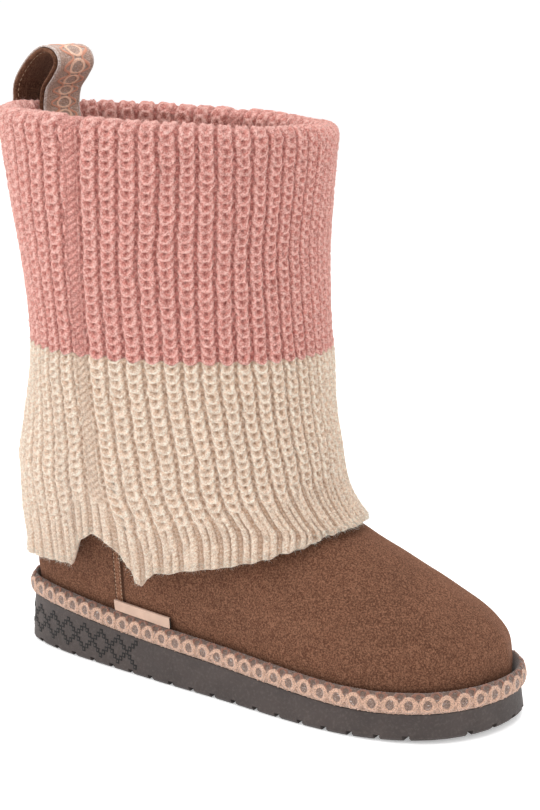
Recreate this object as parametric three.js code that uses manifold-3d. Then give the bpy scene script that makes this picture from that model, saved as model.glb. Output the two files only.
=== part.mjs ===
// A mid-calf pull-on boot for the right foot: a suede-look foot and shaft on a wedge rubber sole, a
// ribbon-covered rand round the foot's edge, a thick ribbed knit sleeve folded over the collar, a pull
// loop behind and a bare label at the side seam.
// Millimetres. +X runs from heel to toe, +Y to the inner side of the foot and +Z up. The origin is on the
// ground under the middle of the heel.
import * as THREE from "three";
import { mergeVertices } from "three/addons/utils/BufferGeometryUtils.js";
import Module from "manifold-3d";

const wasm = await Module();
wasm.setup();

// Sole sizes
const soleLength = 270;
const ballWidth = 97;
const heelRise = 26;
const forefootRise = 12.4;
const toeSpring = 2;
const springStart = 0.72;
const heelCentre = 38.5;
const soleEdgeRadius = 1.6;
const soleFlare = 1.5;
const grooveWidth = 3;
const grooveDepth = 2.6;
const groovePitch = 12.95;
const firstGroove = 17.25;
const lastGroove = 237.5;
const endGrooveLength = 21;

// Upper sizes
const instepHeight = 87;
const collarHeight = 270;
const collarTilt = 6;
const collarRoll = 5.5;
const collarDepth = 161.2;
const collarWidth = 134.4;
const collarBack = 1.8;
const sideSeam = 73.5;
const upperWall = 2.2;
const seamStripWidth = 5.2;
const seamStripRise = 0.8;

// Knit sleeve sizes
const knitWall = 4.5;
const knitSlack = 10;
const hemWall = 3.2;
const facingWall = 3.4;
const facingDepth = 34;
const facingEase = 0.6;
const rimRise = 5.6;
const ribCount = 52;
const ribRise = 1.6;
const hemRib = 0.35;
const hemBackDrop = 39;
const hemSideDrop = 32;
const slitHeight = 18.6;
const slitWidth = 44;
const slitShift = 1;
// How the lower edge bends from the seam to the back and the front, as powers of the share of the way
const hemRearBend = 1.5;
const hemFrontBend = 1.4;

// Rand, insole, pull loop and label sizes
const randHeight = 10;
const randThickness = 5;
const insoleThickness = 4;
const insoleEase = 0.8;
const insoleBevel = 1;
const loopWidth = 28;
const loopStrap = 2;
const loopHeight = 26;
const loopOffset = 5.5;
const loopTail = 26;
const loopSlack = 2.2;
const ribbonWidth = 26;
const ribbonThickness = 0.9;
const labelWidth = 36;
const labelHeight = 5.8;
const labelThickness = 1.6;
const gap = 0.3;

// The sole's outline: share of its length, and each side's reach as a share of the ball width
const SOLE_OUTLINE = [
  { along: 0, outer: 0, inner: 0 },
  { along: 0.025, outer: 0.238, inner: 0.21 },
  { along: 0.075, outer: 0.316, inner: 0.318 },
  { along: 0.16, outer: 0.367, inner: 0.365 },
  { along: 0.27, outer: 0.4, inner: 0.371 },
  { along: 0.4, outer: 0.434, inner: 0.378 },
  { along: 0.52, outer: 0.456, inner: 0.408 },
  { along: 0.64, outer: 0.488, inner: 0.462 },
  { along: 0.75, outer: 0.495, inner: 0.5 },
  { along: 0.85, outer: 0.449, inner: 0.479 },
  { along: 0.93, outer: 0.329, inner: 0.407 },
  { along: 0.98, outer: 0.139, inner: 0.284 },
  { along: 1, outer: -0.102, inner: 0.102 },
];

// The short grooves round the heel and the toe, by turn round the outline
const END_GROOVES = [
  { turn: 0 },
  { turn: 0.05 },
  { turn: 0.1 },
  { turn: 0.88 },
  { turn: 0.93 },
  { turn: 0.985 },
  { turn: 1.04 },
  { turn: 1.09 },
  { turn: 1.9 },
  { turn: 1.95 },
];

// The rubber's height along the sole: 0 is the forefoot's, 1 the heel's
const SOLE_WEDGE = [
  { along: 0, rise: 1 },
  { along: 0.12, rise: 0.83 },
  { along: 0.27, rise: 0.58 },
  { along: 0.45, rise: 0.4 },
  { along: 0.62, rise: 0.22 },
  { along: 0.8, rise: 0.03 },
  { along: 1, rise: 0 },
];

// The foot of the upper, by share of the instep's height above the sole: where its back and front lie as
// shares of the sole's length, its half width as a share of the ball width, and how far its outline keeps
// the sole's shape (1) or is a plain oval (0). It starts from the sole's own outline.
const FOOT_SECTIONS = [
  { up: 0.15, back: 0.017, front: 0.981, half: 0.337, foot: 0.98 },
  { up: 0.3, back: 0.013, front: 0.972, half: 0.353, foot: 0.88 },
  { up: 0.45, back: 0.011, front: 0.935, half: 0.367, foot: 0.64 },
  { up: 0.6, back: 0.011, front: 0.87, half: 0.38, foot: 0.38 },
  { up: 0.75, back: 0.013, front: 0.797, half: 0.391, foot: 0.19 },
  { up: 0.88, back: 0.0145, front: 0.727, half: 0.402, foot: 0.07 },
  { up: 1, back: 0.0165, front: 0.665, half: 0.413, foot: 0 },
];

// The shaft, by share of the height from instep to collar: back and front as shares of the collar's depth,
// measured from the collar's back, and the half width as a share of the collar's width
const SHAFT_SECTIONS = [
  { up: 0.08, back: 0.018, front: 1.01, half: 0.312 },
  { up: 0.18, back: 0.04, front: 0.968, half: 0.336 },
  { up: 0.32, back: 0.073, front: 0.93, half: 0.37 },
  { up: 0.48, back: 0.093, front: 0.934, half: 0.414 },
  { up: 0.66, back: 0.085, front: 0.958, half: 0.455 },
  { up: 0.82, back: 0.046, front: 0.976, half: 0.482 },
  { up: 1, back: 0, front: 1, half: 0.5 },
];

// How far the knit stands off the shaft beyond its own wall, as shares of the knit's slack, by share of the
// collar's height. Below the instep it stands off the section at the instep.
const SLEEVE_SLACK = [
  { up: 0.17, back: 0.37, front: 1.4, side: 0.22 },
  { up: 0.225, back: 0.57, front: 1.4, side: 0.32 },
  { up: 0.283, back: 0.62, front: 1.1, side: 0.54 },
  { up: 0.322, back: 0.6, front: 0.64, side: 0.74 },
  { up: 0.347, back: 0.6, front: 0.78, side: 0.82 },
  { up: 0.389, back: 0.56, front: 1, side: 0.9 },
  { up: 0.445, back: 0.34, front: 1.18, side: 0.82 },
  { up: 0.566, back: 0.12, front: 1.28, side: 0.72 },
  { up: 0.679, back: 0.06, front: 0.78, side: 0.38 },
  { up: 0.789, back: 0.08, front: 0.28, side: 0.22 },
  { up: 0.898, back: 0.03, front: 0.14, side: 0.06 },
  { up: 1, back: 0, front: 0, side: 0 },
];

// The slit in the knit's lower edge at the side seam, by share of half its width forward of its middle
const SLIT_EDGE = [
  { along: -1.05, lift: 0 },
  { along: -0.88, lift: 0.37 },
  { along: -0.7, lift: 0.73 },
  { along: -0.49, lift: 0.91 },
  { along: -0.28, lift: 1 },
  { along: -0.05, lift: 0.94 },
  { along: 0.24, lift: 0.72 },
  { along: 0.52, lift: 0.41 },
  { along: 0.76, lift: 0.03 },
  { along: 0.98, lift: -0.36 },
  { along: 1.12, lift: -0.2 },
  { along: 1.36, lift: 0 },
];

const mix = (a, b, t) => a + (b - a) * t;
const clamp = (value, low, high) => Math.min(high, Math.max(low, value));
const ease = (t) => clamp(t, 0, 1) ** 2 * (3 - 2 * clamp(t, 0, 1));
const range = (count) => Array.from({ length: count }, (_, i) => i);

// A smooth function through one column of a table, held at its end values outside the table
function through(rows, x, y) {
  const slope = (i) => {
    const before = rows[Math.max(0, i - 1)];
    const after = rows[Math.min(rows.length - 1, i + 1)];
    return (y(after) - y(before)) / (x(after) - x(before));
  };
  return (at) => {
    const a = clamp(at, x(rows[0]), x(rows.at(-1)));
    const i = clamp(rows.findLastIndex((row) => x(row) <= a), 0, rows.length - 2);
    const span = x(rows[i + 1]) - x(rows[i]);
    const t = (a - x(rows[i])) / span;
    const bend = t * (1 - t) * span;
    return (
      mix(y(rows[i]), y(rows[i + 1]), ease(t)) +
      bend * ((1 - t) * slope(i) - t * slope(i + 1))
    );
  };
}

// The sole's plan: a centre line and a half width that is round at both ends
const roundEnd = (along) => 2 * Math.sqrt(Math.max(0, along * (1 - along)));
const inside = SOLE_OUTLINE.filter((row) => row.along > 0 && row.along < 1);
const planCentre = through(SOLE_OUTLINE, (row) => row.along, (row) => (row.inner - row.outer) / 2);
const planHalf = through(
  inside,
  (row) => row.along,
  (row) => (row.inner + row.outer) / 2 / roundEnd(row.along),
);
const wedge = through(SOLE_WEDGE, (row) => row.along, (row) => row.rise);

const ground = (x) => toeSpring * ease((x / soleLength - springStart) / (1 - springStart));
const soleTop = (x) => ground(x) + mix(forefootRise, heelRise, wedge(x / soleLength));

// A point of the sole's plan: turn runs 0 to 1 from the heel along the outer side to the toe, and on to 2
// back along the inner side
function planPoint(turn) {
  const along = (1 - Math.cos(Math.PI * turn)) / 2;
  const side = turn <= 1 ? -1 : 1;
  const y = planCentre(along) + side * planHalf(along) * roundEnd(along);
  return new THREE.Vector2(along * soleLength, y * ballWidth);
}

// The same point moved inwards, square to the outline
function planInset(turn, inset) {
  const step = 0.004;
  const before = planPoint((turn - step + 2) % 2);
  const after = planPoint((turn + step) % 2);
  const along = after.sub(before).normalize();
  return planPoint(turn).add(new THREE.Vector2(-along.y, along.x).multiplyScalar(inset));
}

// The centre and half width, across the foot, of the sole's plan inset by some distance
function insetPlan(inset) {
  const samples = 400;
  const points = range(samples * 2).map((i) => planInset(i / samples, inset));
  const side = (turned) => points.filter((_, i) => (i <= samples) === turned).sort((a, b) => a.x - b.x);
  const outer = side(true);
  const inner = side(false);
  const at = (row, x) => {
    const i = clamp(row.findLastIndex((p) => p.x <= x), 0, row.length - 2);
    return mix(row[i].y, row[i + 1].y, clamp((x - row[i].x) / (row[i + 1].x - row[i].x), 0, 1));
  };
  const back = outer[0].x;
  const front = outer.at(-1).x;
  const tip = outer.at(-1).y;
  const reach = (x) => {
    const near = clamp((x - back) / (front - back), 0, 1);
    return { low: near === 1 ? tip : at(outer, x), high: near === 1 ? tip : at(inner, x) };
  };
  return {
    back,
    front,
    centre: (x) => (reach(x).low + reach(x).high) / 2,
    half: (x) => (x <= back ? 0 : Math.max(0, (reach(x).high - reach(x).low) / 2)),
  };
}

// Solids from rings of points

// Two triangles for each cell between neighbouring rings. Rings all have the same even number of points,
// which run from the heel along the outer side to the toe and back. Without caps the last ring meets the
// first again.
function ringSolid(rings, capped) {
  const columns = rings[0].length;
  const positions = rings.flat().flatMap((p) => [p.x, p.y, p.z]);
  const triangles = [];
  const at = (ring, column) => (ring % rings.length) * columns + (column % columns);
  const cell = (a, b, c, d) => triangles.push(a, b, c, a, c, d);
  for (const ring of range(capped ? rings.length - 1 : rings.length)) {
    for (const column of range(columns)) {
      cell(at(ring, column), at(ring, column + 1), at(ring + 1, column + 1), at(ring + 1, column));
    }
  }
  if (capped) {
    const top = rings.length - 1;
    for (const column of range(columns / 2)) {
      const opposite = columns - column;
      cell(at(0, column), at(0, opposite), at(0, opposite - 1), at(0, column + 1));
      cell(at(top, column), at(top, column + 1), at(top, opposite - 1), at(top, opposite));
    }
  }
  return solidOf(positions, triangles);
}

// A manifold solid of merged vertices, without the triangles that collapsed in merging
function solidOf(positions, triangles) {
  const geometry = new THREE.BufferGeometry();
  geometry.setAttribute("position", new THREE.Float32BufferAttribute(positions, 3));
  geometry.setIndex(triangles);
  const merged = mergeVertices(geometry, 1e-3);
  const kept = [];
  for (const i of range(merged.index.count / 3)) {
    const [a, b, c] = [0, 1, 2].map((k) => merged.index.getX(3 * i + k));
    if (a !== b && b !== c && c !== a) kept.push(a, b, c);
  }
  const mesh = new wasm.Mesh({
    numProp: 3,
    vertProperties: new Float32Array(merged.attributes.position.array),
    triVerts: new Uint32Array(kept),
  });
  return new wasm.Manifold(mesh);
}

// A three.js geometry as a manifold solid
function solidOfGeometry(geometry) {
  const bare = new THREE.BufferGeometry();
  bare.setAttribute("position", geometry.getAttribute("position"));
  const indexed = geometry.index ? bare.setIndex(geometry.index) : bare;
  const merged = mergeVertices(indexed, 1e-3);
  return solidOf([...merged.attributes.position.array], [...merged.index.array]);
}

function geometryOf(solid) {
  const mesh = solid.getMesh();
  const geometry = new THREE.BufferGeometry();
  geometry.setAttribute("position", new THREE.Float32BufferAttribute(mesh.vertProperties, 3));
  geometry.setIndex(new THREE.BufferAttribute(mesh.triVerts, 1));
  geometry.computeVertexNormals();
  return geometry;
}

// The outward direction at each point of a stack of open rows of closed rings
function ringNormals(rings) {
  const columns = rings[0].length;
  return rings.map((ring, i) =>
    ring.map((_, j) => {
      const round = ring[(j + 1) % columns].clone().sub(ring[(j + columns - 1) % columns]);
      const up = rings[Math.min(rings.length - 1, i + 1)][j].clone().sub(rings[Math.max(0, i - 1)][j]);
      return round.cross(up).normalize();
    }),
  );
}

// Rings moved inwards by a wall's thickness, with the first and last keeping their height
function insetRings(rings, wall) {
  const normals = ringNormals(rings);
  return rings.map((ring, i) =>
    ring.map((p, j) => {
      const moved = p.clone().addScaledVector(normals[i][j], -wall(i));
      const end = i === 0 || i === rings.length - 1;
      return end ? moved.setZ(p.z) : moved;
    }),
  );
}

// Outsole: one wedge of rubber with transverse grooves that open at its side as notches

const soleSteps = 38;
const soleColumns = range(2 * soleSteps).map((i) => i / soleSteps);

function soleRing(inset, height) {
  return soleColumns.map((turn) => {
    const p = planInset(turn, inset);
    return new THREE.Vector3(p.x, p.y, height(p.x));
  });
}

function outsole() {
  const body = ringSolid(
    [
      soleRing(soleEdgeRadius, ground),
      soleRing(0, (x) => ground(x) + soleEdgeRadius),
      soleRing(soleFlare, soleTop),
    ],
    true,
  );
  const across = range(Math.round((lastGroove - firstGroove) / groovePitch) + 1).map((i) => {
    const x = firstGroove + i * groovePitch;
    return groove(new THREE.Vector2(x, 0), 0, 2 * ballWidth);
  });
  const ends = END_GROOVES.map((row) => {
    const p = planPoint(row.turn);
    const into = planInset(row.turn, 1).sub(p);
    return groove(p, Math.atan2(into.y, into.x) - Math.PI / 2, endGrooveLength);
  });
  return wasm.Manifold.difference([body, ...across, ...ends]);
}

// One groove's cutter, its length turned from the Y direction
function groove(centre, turn, length) {
  const box = new THREE.BoxGeometry(grooveWidth, length, grooveDepth * 2);
  box.rotateZ(turn);
  box.translate(centre.x, centre.y, ground(centre.x));
  return solidOfGeometry(box);
}

// Upper: foot and shaft as one hollow wall, open at the collar and underneath

const soleAtSeam = soleTop(sideSeam);
const footRise = instepHeight - soleAtSeam;
const shaftRise = collarHeight - instepHeight;
const footPlan = insetPlan(randThickness + gap);
const soleSection = {
  height: soleAtSeam,
  back: footPlan.back,
  front: footPlan.front,
  half: footPlan.half(sideSeam),
  foot: 1,
};
const footSections = FOOT_SECTIONS.map((row) => ({
  height: soleAtSeam + row.up * footRise,
  back: row.back * soleLength,
  front: row.front * soleLength,
  half: row.half * ballWidth,
  foot: row.foot,
}));
const shaftSections = SHAFT_SECTIONS.map((row) => ({
  height: instepHeight + row.up * shaftRise,
  back: collarBack + row.back * collarDepth,
  front: collarBack + row.front * collarDepth,
  half: row.half * collarWidth,
  foot: 0,
}));
const upperSections = [soleSection, ...footSections, ...shaftSections];
const upperColumn = (key) => through(upperSections, (row) => row.height, (row) => row[key]);
const upperBack = upperColumn("back");
const upperFront = upperColumn("front");
const upperHalf = upperColumn("half");
const upperFoot = upperColumn("foot");
const upperAt = (height) => ({
  back: upperBack(height),
  front: upperFront(height),
  half: upperHalf(height),
  foot: upperFoot(height),
});

// The collar's edge is higher behind and at the outer side, and the tilt dies away down the shaft
const tiltFoot = 0.68;

function collarLift(x, y, height) {
  const fade = ease((height / collarHeight - tiltFoot) / (1 - tiltFoot));
  return fade * ((collarTilt * (sideSeam - x)) / collarDepth - (collarRoll * y) / collarWidth);
}

// A point of a section, from the share of the way from the side seam to its back (negative) or front
const oval = (share) => Math.sqrt(Math.max(0, 1 - share ** 2));

function sectionPoint(section, share, side) {
  const reach = share < 0 ? sideSeam - section.back : section.front - sideSeam;
  const x = sideSeam + share * reach;
  const footReach = share < 0 ? sideSeam - footPlan.back : footPlan.front - sideSeam;
  const footX = sideSeam + share * footReach;
  const footHalf = footPlan.half(footX) / footPlan.half(sideSeam);
  const half = section.half * mix(oval(share), footHalf, section.foot);
  return new THREE.Vector2(x, section.foot * footPlan.centre(footX) + side * half);
}

// The columns of the upper's mesh on one side, from the back to the toe: shares of the way from the seam,
// and distances from it at the edges of the raised seam strip
const rearSteps = 10;
const frontSteps = 13;
const quarter = Math.PI / 2;
const rearColumns = range(rearSteps).map((i) => ({ share: -Math.cos(quarter * (i / rearSteps)) }));
const frontColumns = range(frontSteps).map((i) => ({ share: Math.sin(quarter * ((i + 1) / frontSteps)) }));
const stripEdge = seamStripWidth / 2;
const stripColumns = [
  { offset: -stripEdge - gap },
  { offset: -stripEdge, raised: true },
  { offset: stripEdge, raised: true },
  { offset: stripEdge + gap },
];
const halfColumns = [...rearColumns, ...stripColumns, ...frontColumns];
const upperColumns = [
  ...halfColumns.map((column) => ({ ...column, side: -1 })),
  ...halfColumns.slice(1, -1).reverse().map((column) => ({ ...column, side: 1 })),
];

// The rings lie level, except that the lowest follow the top of the sole up to this height above it
const wedgeFade = 34;

function upperRing(height, seat) {
  const section = upperAt(height);
  const fade = 1 - ease((height - soleAtSeam) / wedgeFade);
  return upperColumns.map((column) => {
    const reach = column.offset < 0 ? sideSeam - section.back : section.front - sideSeam;
    const share = column.share ?? column.offset / reach;
    const p = sectionPoint(section, share, column.side);
    const follow = fade * (soleTop(p.x) - soleAtSeam + seat);
    return new THREE.Vector3(p.x, p.y, height + follow + collarLift(p.x, p.y, height));
  });
}

const upperHeights = [
  ...[0, 0.08, 0.18, 0.3, 0.43, 0.56, 0.68, 0.79, 0.9, 1].map((t) => soleAtSeam + t * footRise),
  ...[0.08, 0.18, 0.34, 0.54, 0.78, 1].map((t) => instepHeight + t * shaftRise),
];

function upper() {
  const outer = upperHeights.map((height) => upperRing(height, gap));
  const inner = insetRings(outer, () => upperWall);
  const normals = ringNormals(outer);
  const raised = outer.map((ring, i) => {
    const rise = upperHeights[i] > soleAtSeam + randHeight ? seamStripRise : 0;
    const out = (j) => normals[i][j].clone().setZ(0).normalize();
    return ring.map((p, j) => (upperColumns[j].raised ? p.clone().addScaledVector(out(j), rise) : p));
  });
  return ringSolid([...raised, ...inner.reverse()], false);
}

// Rand: a ribbon-covered pad that runs round the upper on the rubber's edge

// Its section: share of its thickness in from the sole's edge, and share of its height
const RAND_SECTION = [
  { inset: 0.32, up: 0 },
  { inset: -0.02, up: 0.2 },
  { inset: -0.12, up: 0.52 },
  { inset: 0.02, up: 0.82 },
  { inset: 0.32, up: 0.99 },
  { inset: 0.62, up: 0.94 },
  { inset: 0.96, up: 0.2 },
  { inset: 0.96, up: 0 },
];

function rand() {
  const rings = RAND_SECTION.map((row) =>
    soleRing(row.inset * randThickness, (x) => soleTop(x) + gap + row.up * randHeight),
  );
  return ringSolid(rings, false);
}

// Insole: a flat footbed inside the upper, on the sole

function insole() {
  const inset = randThickness + gap + upperWall + insoleEase;
  return ringSolid(
    [
      soleRing(inset, (x) => soleTop(x) + gap),
      soleRing(inset, (x) => soleTop(x) + gap + insoleThickness - insoleBevel),
      soleRing(inset + insoleBevel, (x) => soleTop(x) + gap + insoleThickness),
    ],
    true,
  );
}

// Knit sleeve: one knitted wall with raised ribs, folded over the shaft's edge at the collar

const slack = (key) => through(SLEEVE_SLACK, (row) => row.up * collarHeight, (row) => row[key] * knitSlack);
const slackBack = slack("back");
const slackFront = slack("front");
const slackSide = slack("side");
const slitLift = through(SLIT_EDGE, (row) => row.along, (row) => row.lift);
const sleeveStand = knitWall + gap;
const rimFoot = collarHeight + 2 * gap;
const rimThickness = sleeveStand + upperWall + facingEase + facingWall;

function sleeveAt(height) {
  const section = upperAt(Math.max(height, instepHeight));
  return {
    back: section.back - sleeveStand - slackBack(height),
    front: section.front + sleeveStand + slackFront(height),
    half: section.half + sleeveStand + slackSide(height),
  };
}

// The mesh's columns: a rib's crest and its groove by turns, from the back round the outer side
const rearRibShare = 0.423;
const rearQuarter = Math.round(ribCount * rearRibShare);
const frontQuarter = ribCount - rearQuarter;
const sleeveSide = [
  ...range(rearQuarter).map((i) => -Math.cos(quarter * (i / rearQuarter))),
  ...range(frontQuarter + 1).map((i) => Math.sin(quarter * (i / frontQuarter))),
];
const sleeveColumns = [
  ...sleeveSide.map((share) => ({ share, side: -1 })),
  ...sleeveSide.slice(1, -1).reverse().map((share) => ({ share, side: 1 })),
];

// The free lower edge: level behind, rising to the instep in front, with a slit at each side seam whose
// front corner hangs lower
const hemBack = instepHeight - hemBackDrop;
const hemSide = instepHeight - hemSideDrop;

function hemHeight(share, x) {
  const rear = mix(hemSide, hemBack, Math.abs(share) ** hemRearBend);
  const front = mix(hemSide, instepHeight, Math.abs(share) ** hemFrontBend);
  const edge = share < 0 ? rear : front;
  const along = (x - sideSeam + slitShift) / (slitWidth / 2);
  return edge + slitHeight * slitLift(along);
}

// Where the oval would cut through the foot, the knit lies on the foot instead
function sleevePlanPoint(height, column) {
  const section = sleeveAt(height);
  const reach = column.share < 0 ? sideSeam - section.back : section.front - sideSeam;
  const x = sideSeam + column.share * reach;
  const free = section.half * oval(column.share);
  const foot = upperAt(height);
  const footReach = x < sideSeam ? sideSeam - foot.back : foot.front - sideSeam;
  const footShare = clamp((x - sideSeam) / footReach, -1, 1);
  const footSide = sectionPoint(foot, footShare, column.side).y * column.side;
  const rest = Math.min(free, sleeveStand * 2) + footSide;
  const y = column.side * Math.max(free, rest);
  return new THREE.Vector3(x, y, height + collarLift(x, y, height));
}

// A ring of the fold-over's facing, some way inside the shaft's outer face
function facingRing(height, inset) {
  const section = upperAt(height);
  const points = sleeveColumns.map((column) => sectionPoint(section, column.share, column.side));
  const ring = points.map((p) => new THREE.Vector3(p.x, p.y, height + collarLift(p.x, p.y, height)));
  const out = ringNormals([ring, ring.map((p) => p.clone().setZ(p.z + 1))])[0];
  return ring.map((p, j) => p.clone().addScaledVector(out[j], -inset));
}

// Where the wall's rings lie between the lower edge and the collar, and the share of that height over which
// the finer ribs of the lower edge become the wide ones
const sleeveSteps = [0, 0.04, 0.11, 0.2, 0.31, 0.44, 0.58, 0.72, 0.86, 1];
const hemShare = 0.1;

function sleeve() {
  const hems = sleeveColumns.map((column) => hemHeight(column.share, sleevePlanPoint(hemSide, column).x));
  const wall = sleeveSteps.map((t) =>
    sleeveColumns.map((column, j) => sleevePlanPoint(mix(hems[j], rimFoot, t), column)),
  );
  const full = sleeveSteps.map((t) => ease(t / hemShare));
  const innerWall = insetRings(wall, (i) => mix(hemWall, knitWall, full[i]));
  const normals = ringNormals(wall);
  const ribbed = wall.map((ring, i) =>
    ring.map((p, j) => {
      const depth = j % 2 ? ribRise * mix(hemRib, 1, full[i]) : 0;
      return p.clone().addScaledVector(normals[i][j], -depth);
    }),
  );
  const slotInset = upperWall + facingEase;
  const rimInset = slotInset + facingWall;
  const facingFoot = collarHeight - facingDepth;
  const facingTop = facingRing(rimFoot, rimInset);
  const roll = [40, 90, 140].map((degrees) => {
    const turn = THREE.MathUtils.degToRad(degrees);
    return ribbed.at(-1).map((p, j) => {
      const q = p.clone().lerp(facingTop[j], (1 - Math.cos(turn)) / 2);
      return q.setZ(q.z + rimRise * Math.sin(turn));
    });
  });
  const rings = [
    ...ribbed,
    ...roll,
    facingTop,
    facingRing(facingFoot, rimInset),
    facingRing(facingFoot, slotInset),
    facingRing(rimFoot, slotInset),
    ...innerWall.filter((_, i) => i % 2 === 0 || i === innerWall.length - 1).reverse(),
  ];
  return ringSolid(rings, false);
}

// Pull loop: a suede strap with a woven ribbon on its outer face, standing astride the collar's edge

// The strap's middle line above the collar's edge: shares of half the spread of its legs, forward, and of
// the loop's height
const LOOP_PATH = [
  { out: -1, up: 0 },
  { out: -0.85, up: 0.36 },
  { out: 0.1, up: 0.78 },
  { out: 1.1, up: 1 },
  { out: 1.9, up: 0.95 },
  { out: 2.15, up: 0.75 },
  { out: 1.75, up: 0.52 },
  { out: 1.2, up: 0.28 },
  { out: 1, up: 0 },
];

const loopSteps = 38;

// The collar's outer face behind, at some height, in the loop's own plane
const rimBack = (height) => sleeveAt(height).back;
const loopColumn = (height) => height + collarLift(rimBack(height), loopOffset, height);
const loopMiddle = rimThickness / 2;
const legSpread = loopMiddle + gap + loopStrap / 2;

// How far the collar's inner face curves in from a flat strap that stands square to it
const facingHalf = upperHalf(collarHeight) - upperWall - facingEase - facingWall;
const facingReach = sideSeam - collarBack - upperWall - facingEase - facingWall;
const facingRecess = (y) => facingReach * (1 - oval(y / facingHalf));
const facingSlope = ((facingReach / facingHalf) * loopOffset) / facingHalf / oval(loopOffset / facingHalf);
const legBow =
  gap + facingRecess(loopOffset + loopWidth / 2) - facingRecess(loopOffset) - (facingSlope * loopWidth) / 2;

function loopPath() {
  const rimTop = loopColumn(rimFoot) + rimRise;
  const origin = rimBack(rimFoot) + loopMiddle;
  const spread = legSpread + loopSlack;
  const over = LOOP_PATH.map(
    (row) => new THREE.Vector2(origin + row.out * spread, rimTop + row.up * (loopHeight - loopStrap / 2)),
  );
  const leg = (side, bow) =>
    [0, 0.5, 1].map((share) => {
      const height = rimFoot - share * loopTail;
      const reach = legSpread + Math.max(bow, loopSlack * (1 - share));
      return new THREE.Vector2(rimBack(height) + loopMiddle + side * reach, loopColumn(height));
    });
  const points = [...leg(-1, 0).reverse(), ...over, ...leg(1, legBow)];
  return new THREE.SplineCurve(points).getSpacedPoints(loopSteps);
}

// A strip that follows the path, between two distances to its outer side, extruded over a width
function strip(path, low, high, width) {
  const outwards = path.map((_, i) => {
    const before = path[Math.max(0, i - 1)];
    const after = path[Math.min(path.length - 1, i + 1)];
    const along = after.clone().sub(before).normalize();
    return new THREE.Vector2(-along.y, along.x);
  });
  const edge = (distance) => path.map((p, i) => p.clone().addScaledVector(outwards[i], distance));
  const shape = new THREE.Shape([...edge(low), ...edge(high).reverse()]);
  const geometry = new THREE.ExtrudeGeometry(shape, { depth: width, bevelEnabled: false, curveSegments: 1 });
  // The shape's plane stands up, and its width lies across the foot
  geometry.translate(0, 0, -width / 2);
  geometry.rotateX(Math.PI / 2);
  return geometry;
}

// Label: a folded strip of fabric that stands in the seam above the rand, along the upper's side

// The upper's outer side at a station and a height above the rubber
function sideAt(x, up) {
  const level = soleTop(x) + up;
  const height = range(6).reduce(
    (guess) => level - (1 - ease((guess - soleAtSeam) / wedgeFade)) * (soleTop(x) - soleAtSeam + gap),
    level,
  );
  const section = upperAt(height);
  const share = (x - sideSeam) / (x < sideSeam ? sideSeam - section.back : section.front - sideSeam);
  return sectionPoint(section, share, -1).y;
}

function label() {
  const steps = 12;
  const start = sideSeam - stripEdge;
  const foot = randHeight + 2 * gap;
  const clear = seamStripRise + 2 * gap;
  const row = (out, up) =>
    range(steps + 1).map((i) => {
      const x = start + (labelWidth * i) / steps;
      return new THREE.Vector3(x, sideAt(x, foot + up) - clear - out, soleTop(x) + foot + up);
    });
  const rows = [
    row(0, 0),
    row(0, labelHeight),
    row(labelThickness, labelHeight),
    row(labelThickness, 0),
  ];
  const positions = rows.flat().flatMap((p) => [p.x, p.y, p.z]);
  const at = (line, step) => (line % 4) * (steps + 1) + step;
  const triangles = [];
  for (const line of range(4)) {
    for (const step of range(steps)) {
      triangles.push(at(line, step), at(line + 1, step + 1), at(line, step + 1));
      triangles.push(at(line, step), at(line + 1, step), at(line + 1, step + 1));
    }
  }
  triangles.push(at(0, 0), at(2, 0), at(1, 0), at(0, 0), at(3, 0), at(2, 0));
  triangles.push(at(0, steps), at(1, steps), at(2, steps), at(0, steps), at(2, steps), at(3, steps));
  return solidOf(positions, triangles);
}

// Materials

const finish = (color, roughness) => new THREE.MeshStandardMaterial({ color, roughness, metalness: 0 });
const rubber = finish(0x4c413d, 0.7);
const suede = finish(0x74523f, 0.95);
const ribbon = finish(0xa98a7b, 0.9);
const knit = finish(0xc78980, 1);
const footbed = finish(0xb9a48f, 1);
const labelCloth = finish(0xd3ae9d, 0.85);

// Assembly

const boot = new THREE.Group();
boot.position.set(-heelCentre, 0, 0);

function add(name, geometry, material, parent = boot) {
  const mesh = new THREE.Mesh(geometry, material);
  mesh.name = name;
  parent.add(mesh);
  return mesh;
}

add("label", geometryOf(label()), labelCloth);
add("upper", geometryOf(upper()), suede);
add("outsole", geometryOf(outsole()), rubber);
add("rand", geometryOf(rand()), ribbon);
add("insole", geometryOf(insole()), footbed);
add("sleeve", geometryOf(sleeve()), knit);

// The loop stands square to the collar's edge where it straddles it
const loop = new THREE.Group();
const rimHalf = sleeveAt(rimFoot).half;
const rimReach = sideSeam - rimBack(rimFoot);
const recess = rimReach * (1 - oval(loopOffset / rimHalf));
const slope = ((rimReach / rimHalf) * loopOffset) / rimHalf / oval(loopOffset / rimHalf);
loop.position.set(rimBack(rimFoot) + recess, loopOffset, 0);
loop.rotation.z = -Math.atan(slope);
boot.add(loop);
const path = loopPath().map((p) => p.setX(p.x - rimBack(rimFoot)));
add("pull_loop", strip(path, -loopStrap / 2, loopStrap / 2, loopWidth), suede, loop);
const ribbonLow = loopStrap / 2 + gap;
add("loop_ribbon", strip(path, ribbonLow, ribbonLow + ribbonThickness, ribbonWidth), ribbon, loop);

export default boot;
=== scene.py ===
"""Looks of a mid-calf pull-on boot: knit sleeve, suede-look foot, ribbon rand and wedge sole."""

import math

import bmesh
import bpy
import numpy as np
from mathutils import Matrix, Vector
from mathutils.bvhtree import BVHTree


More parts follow.
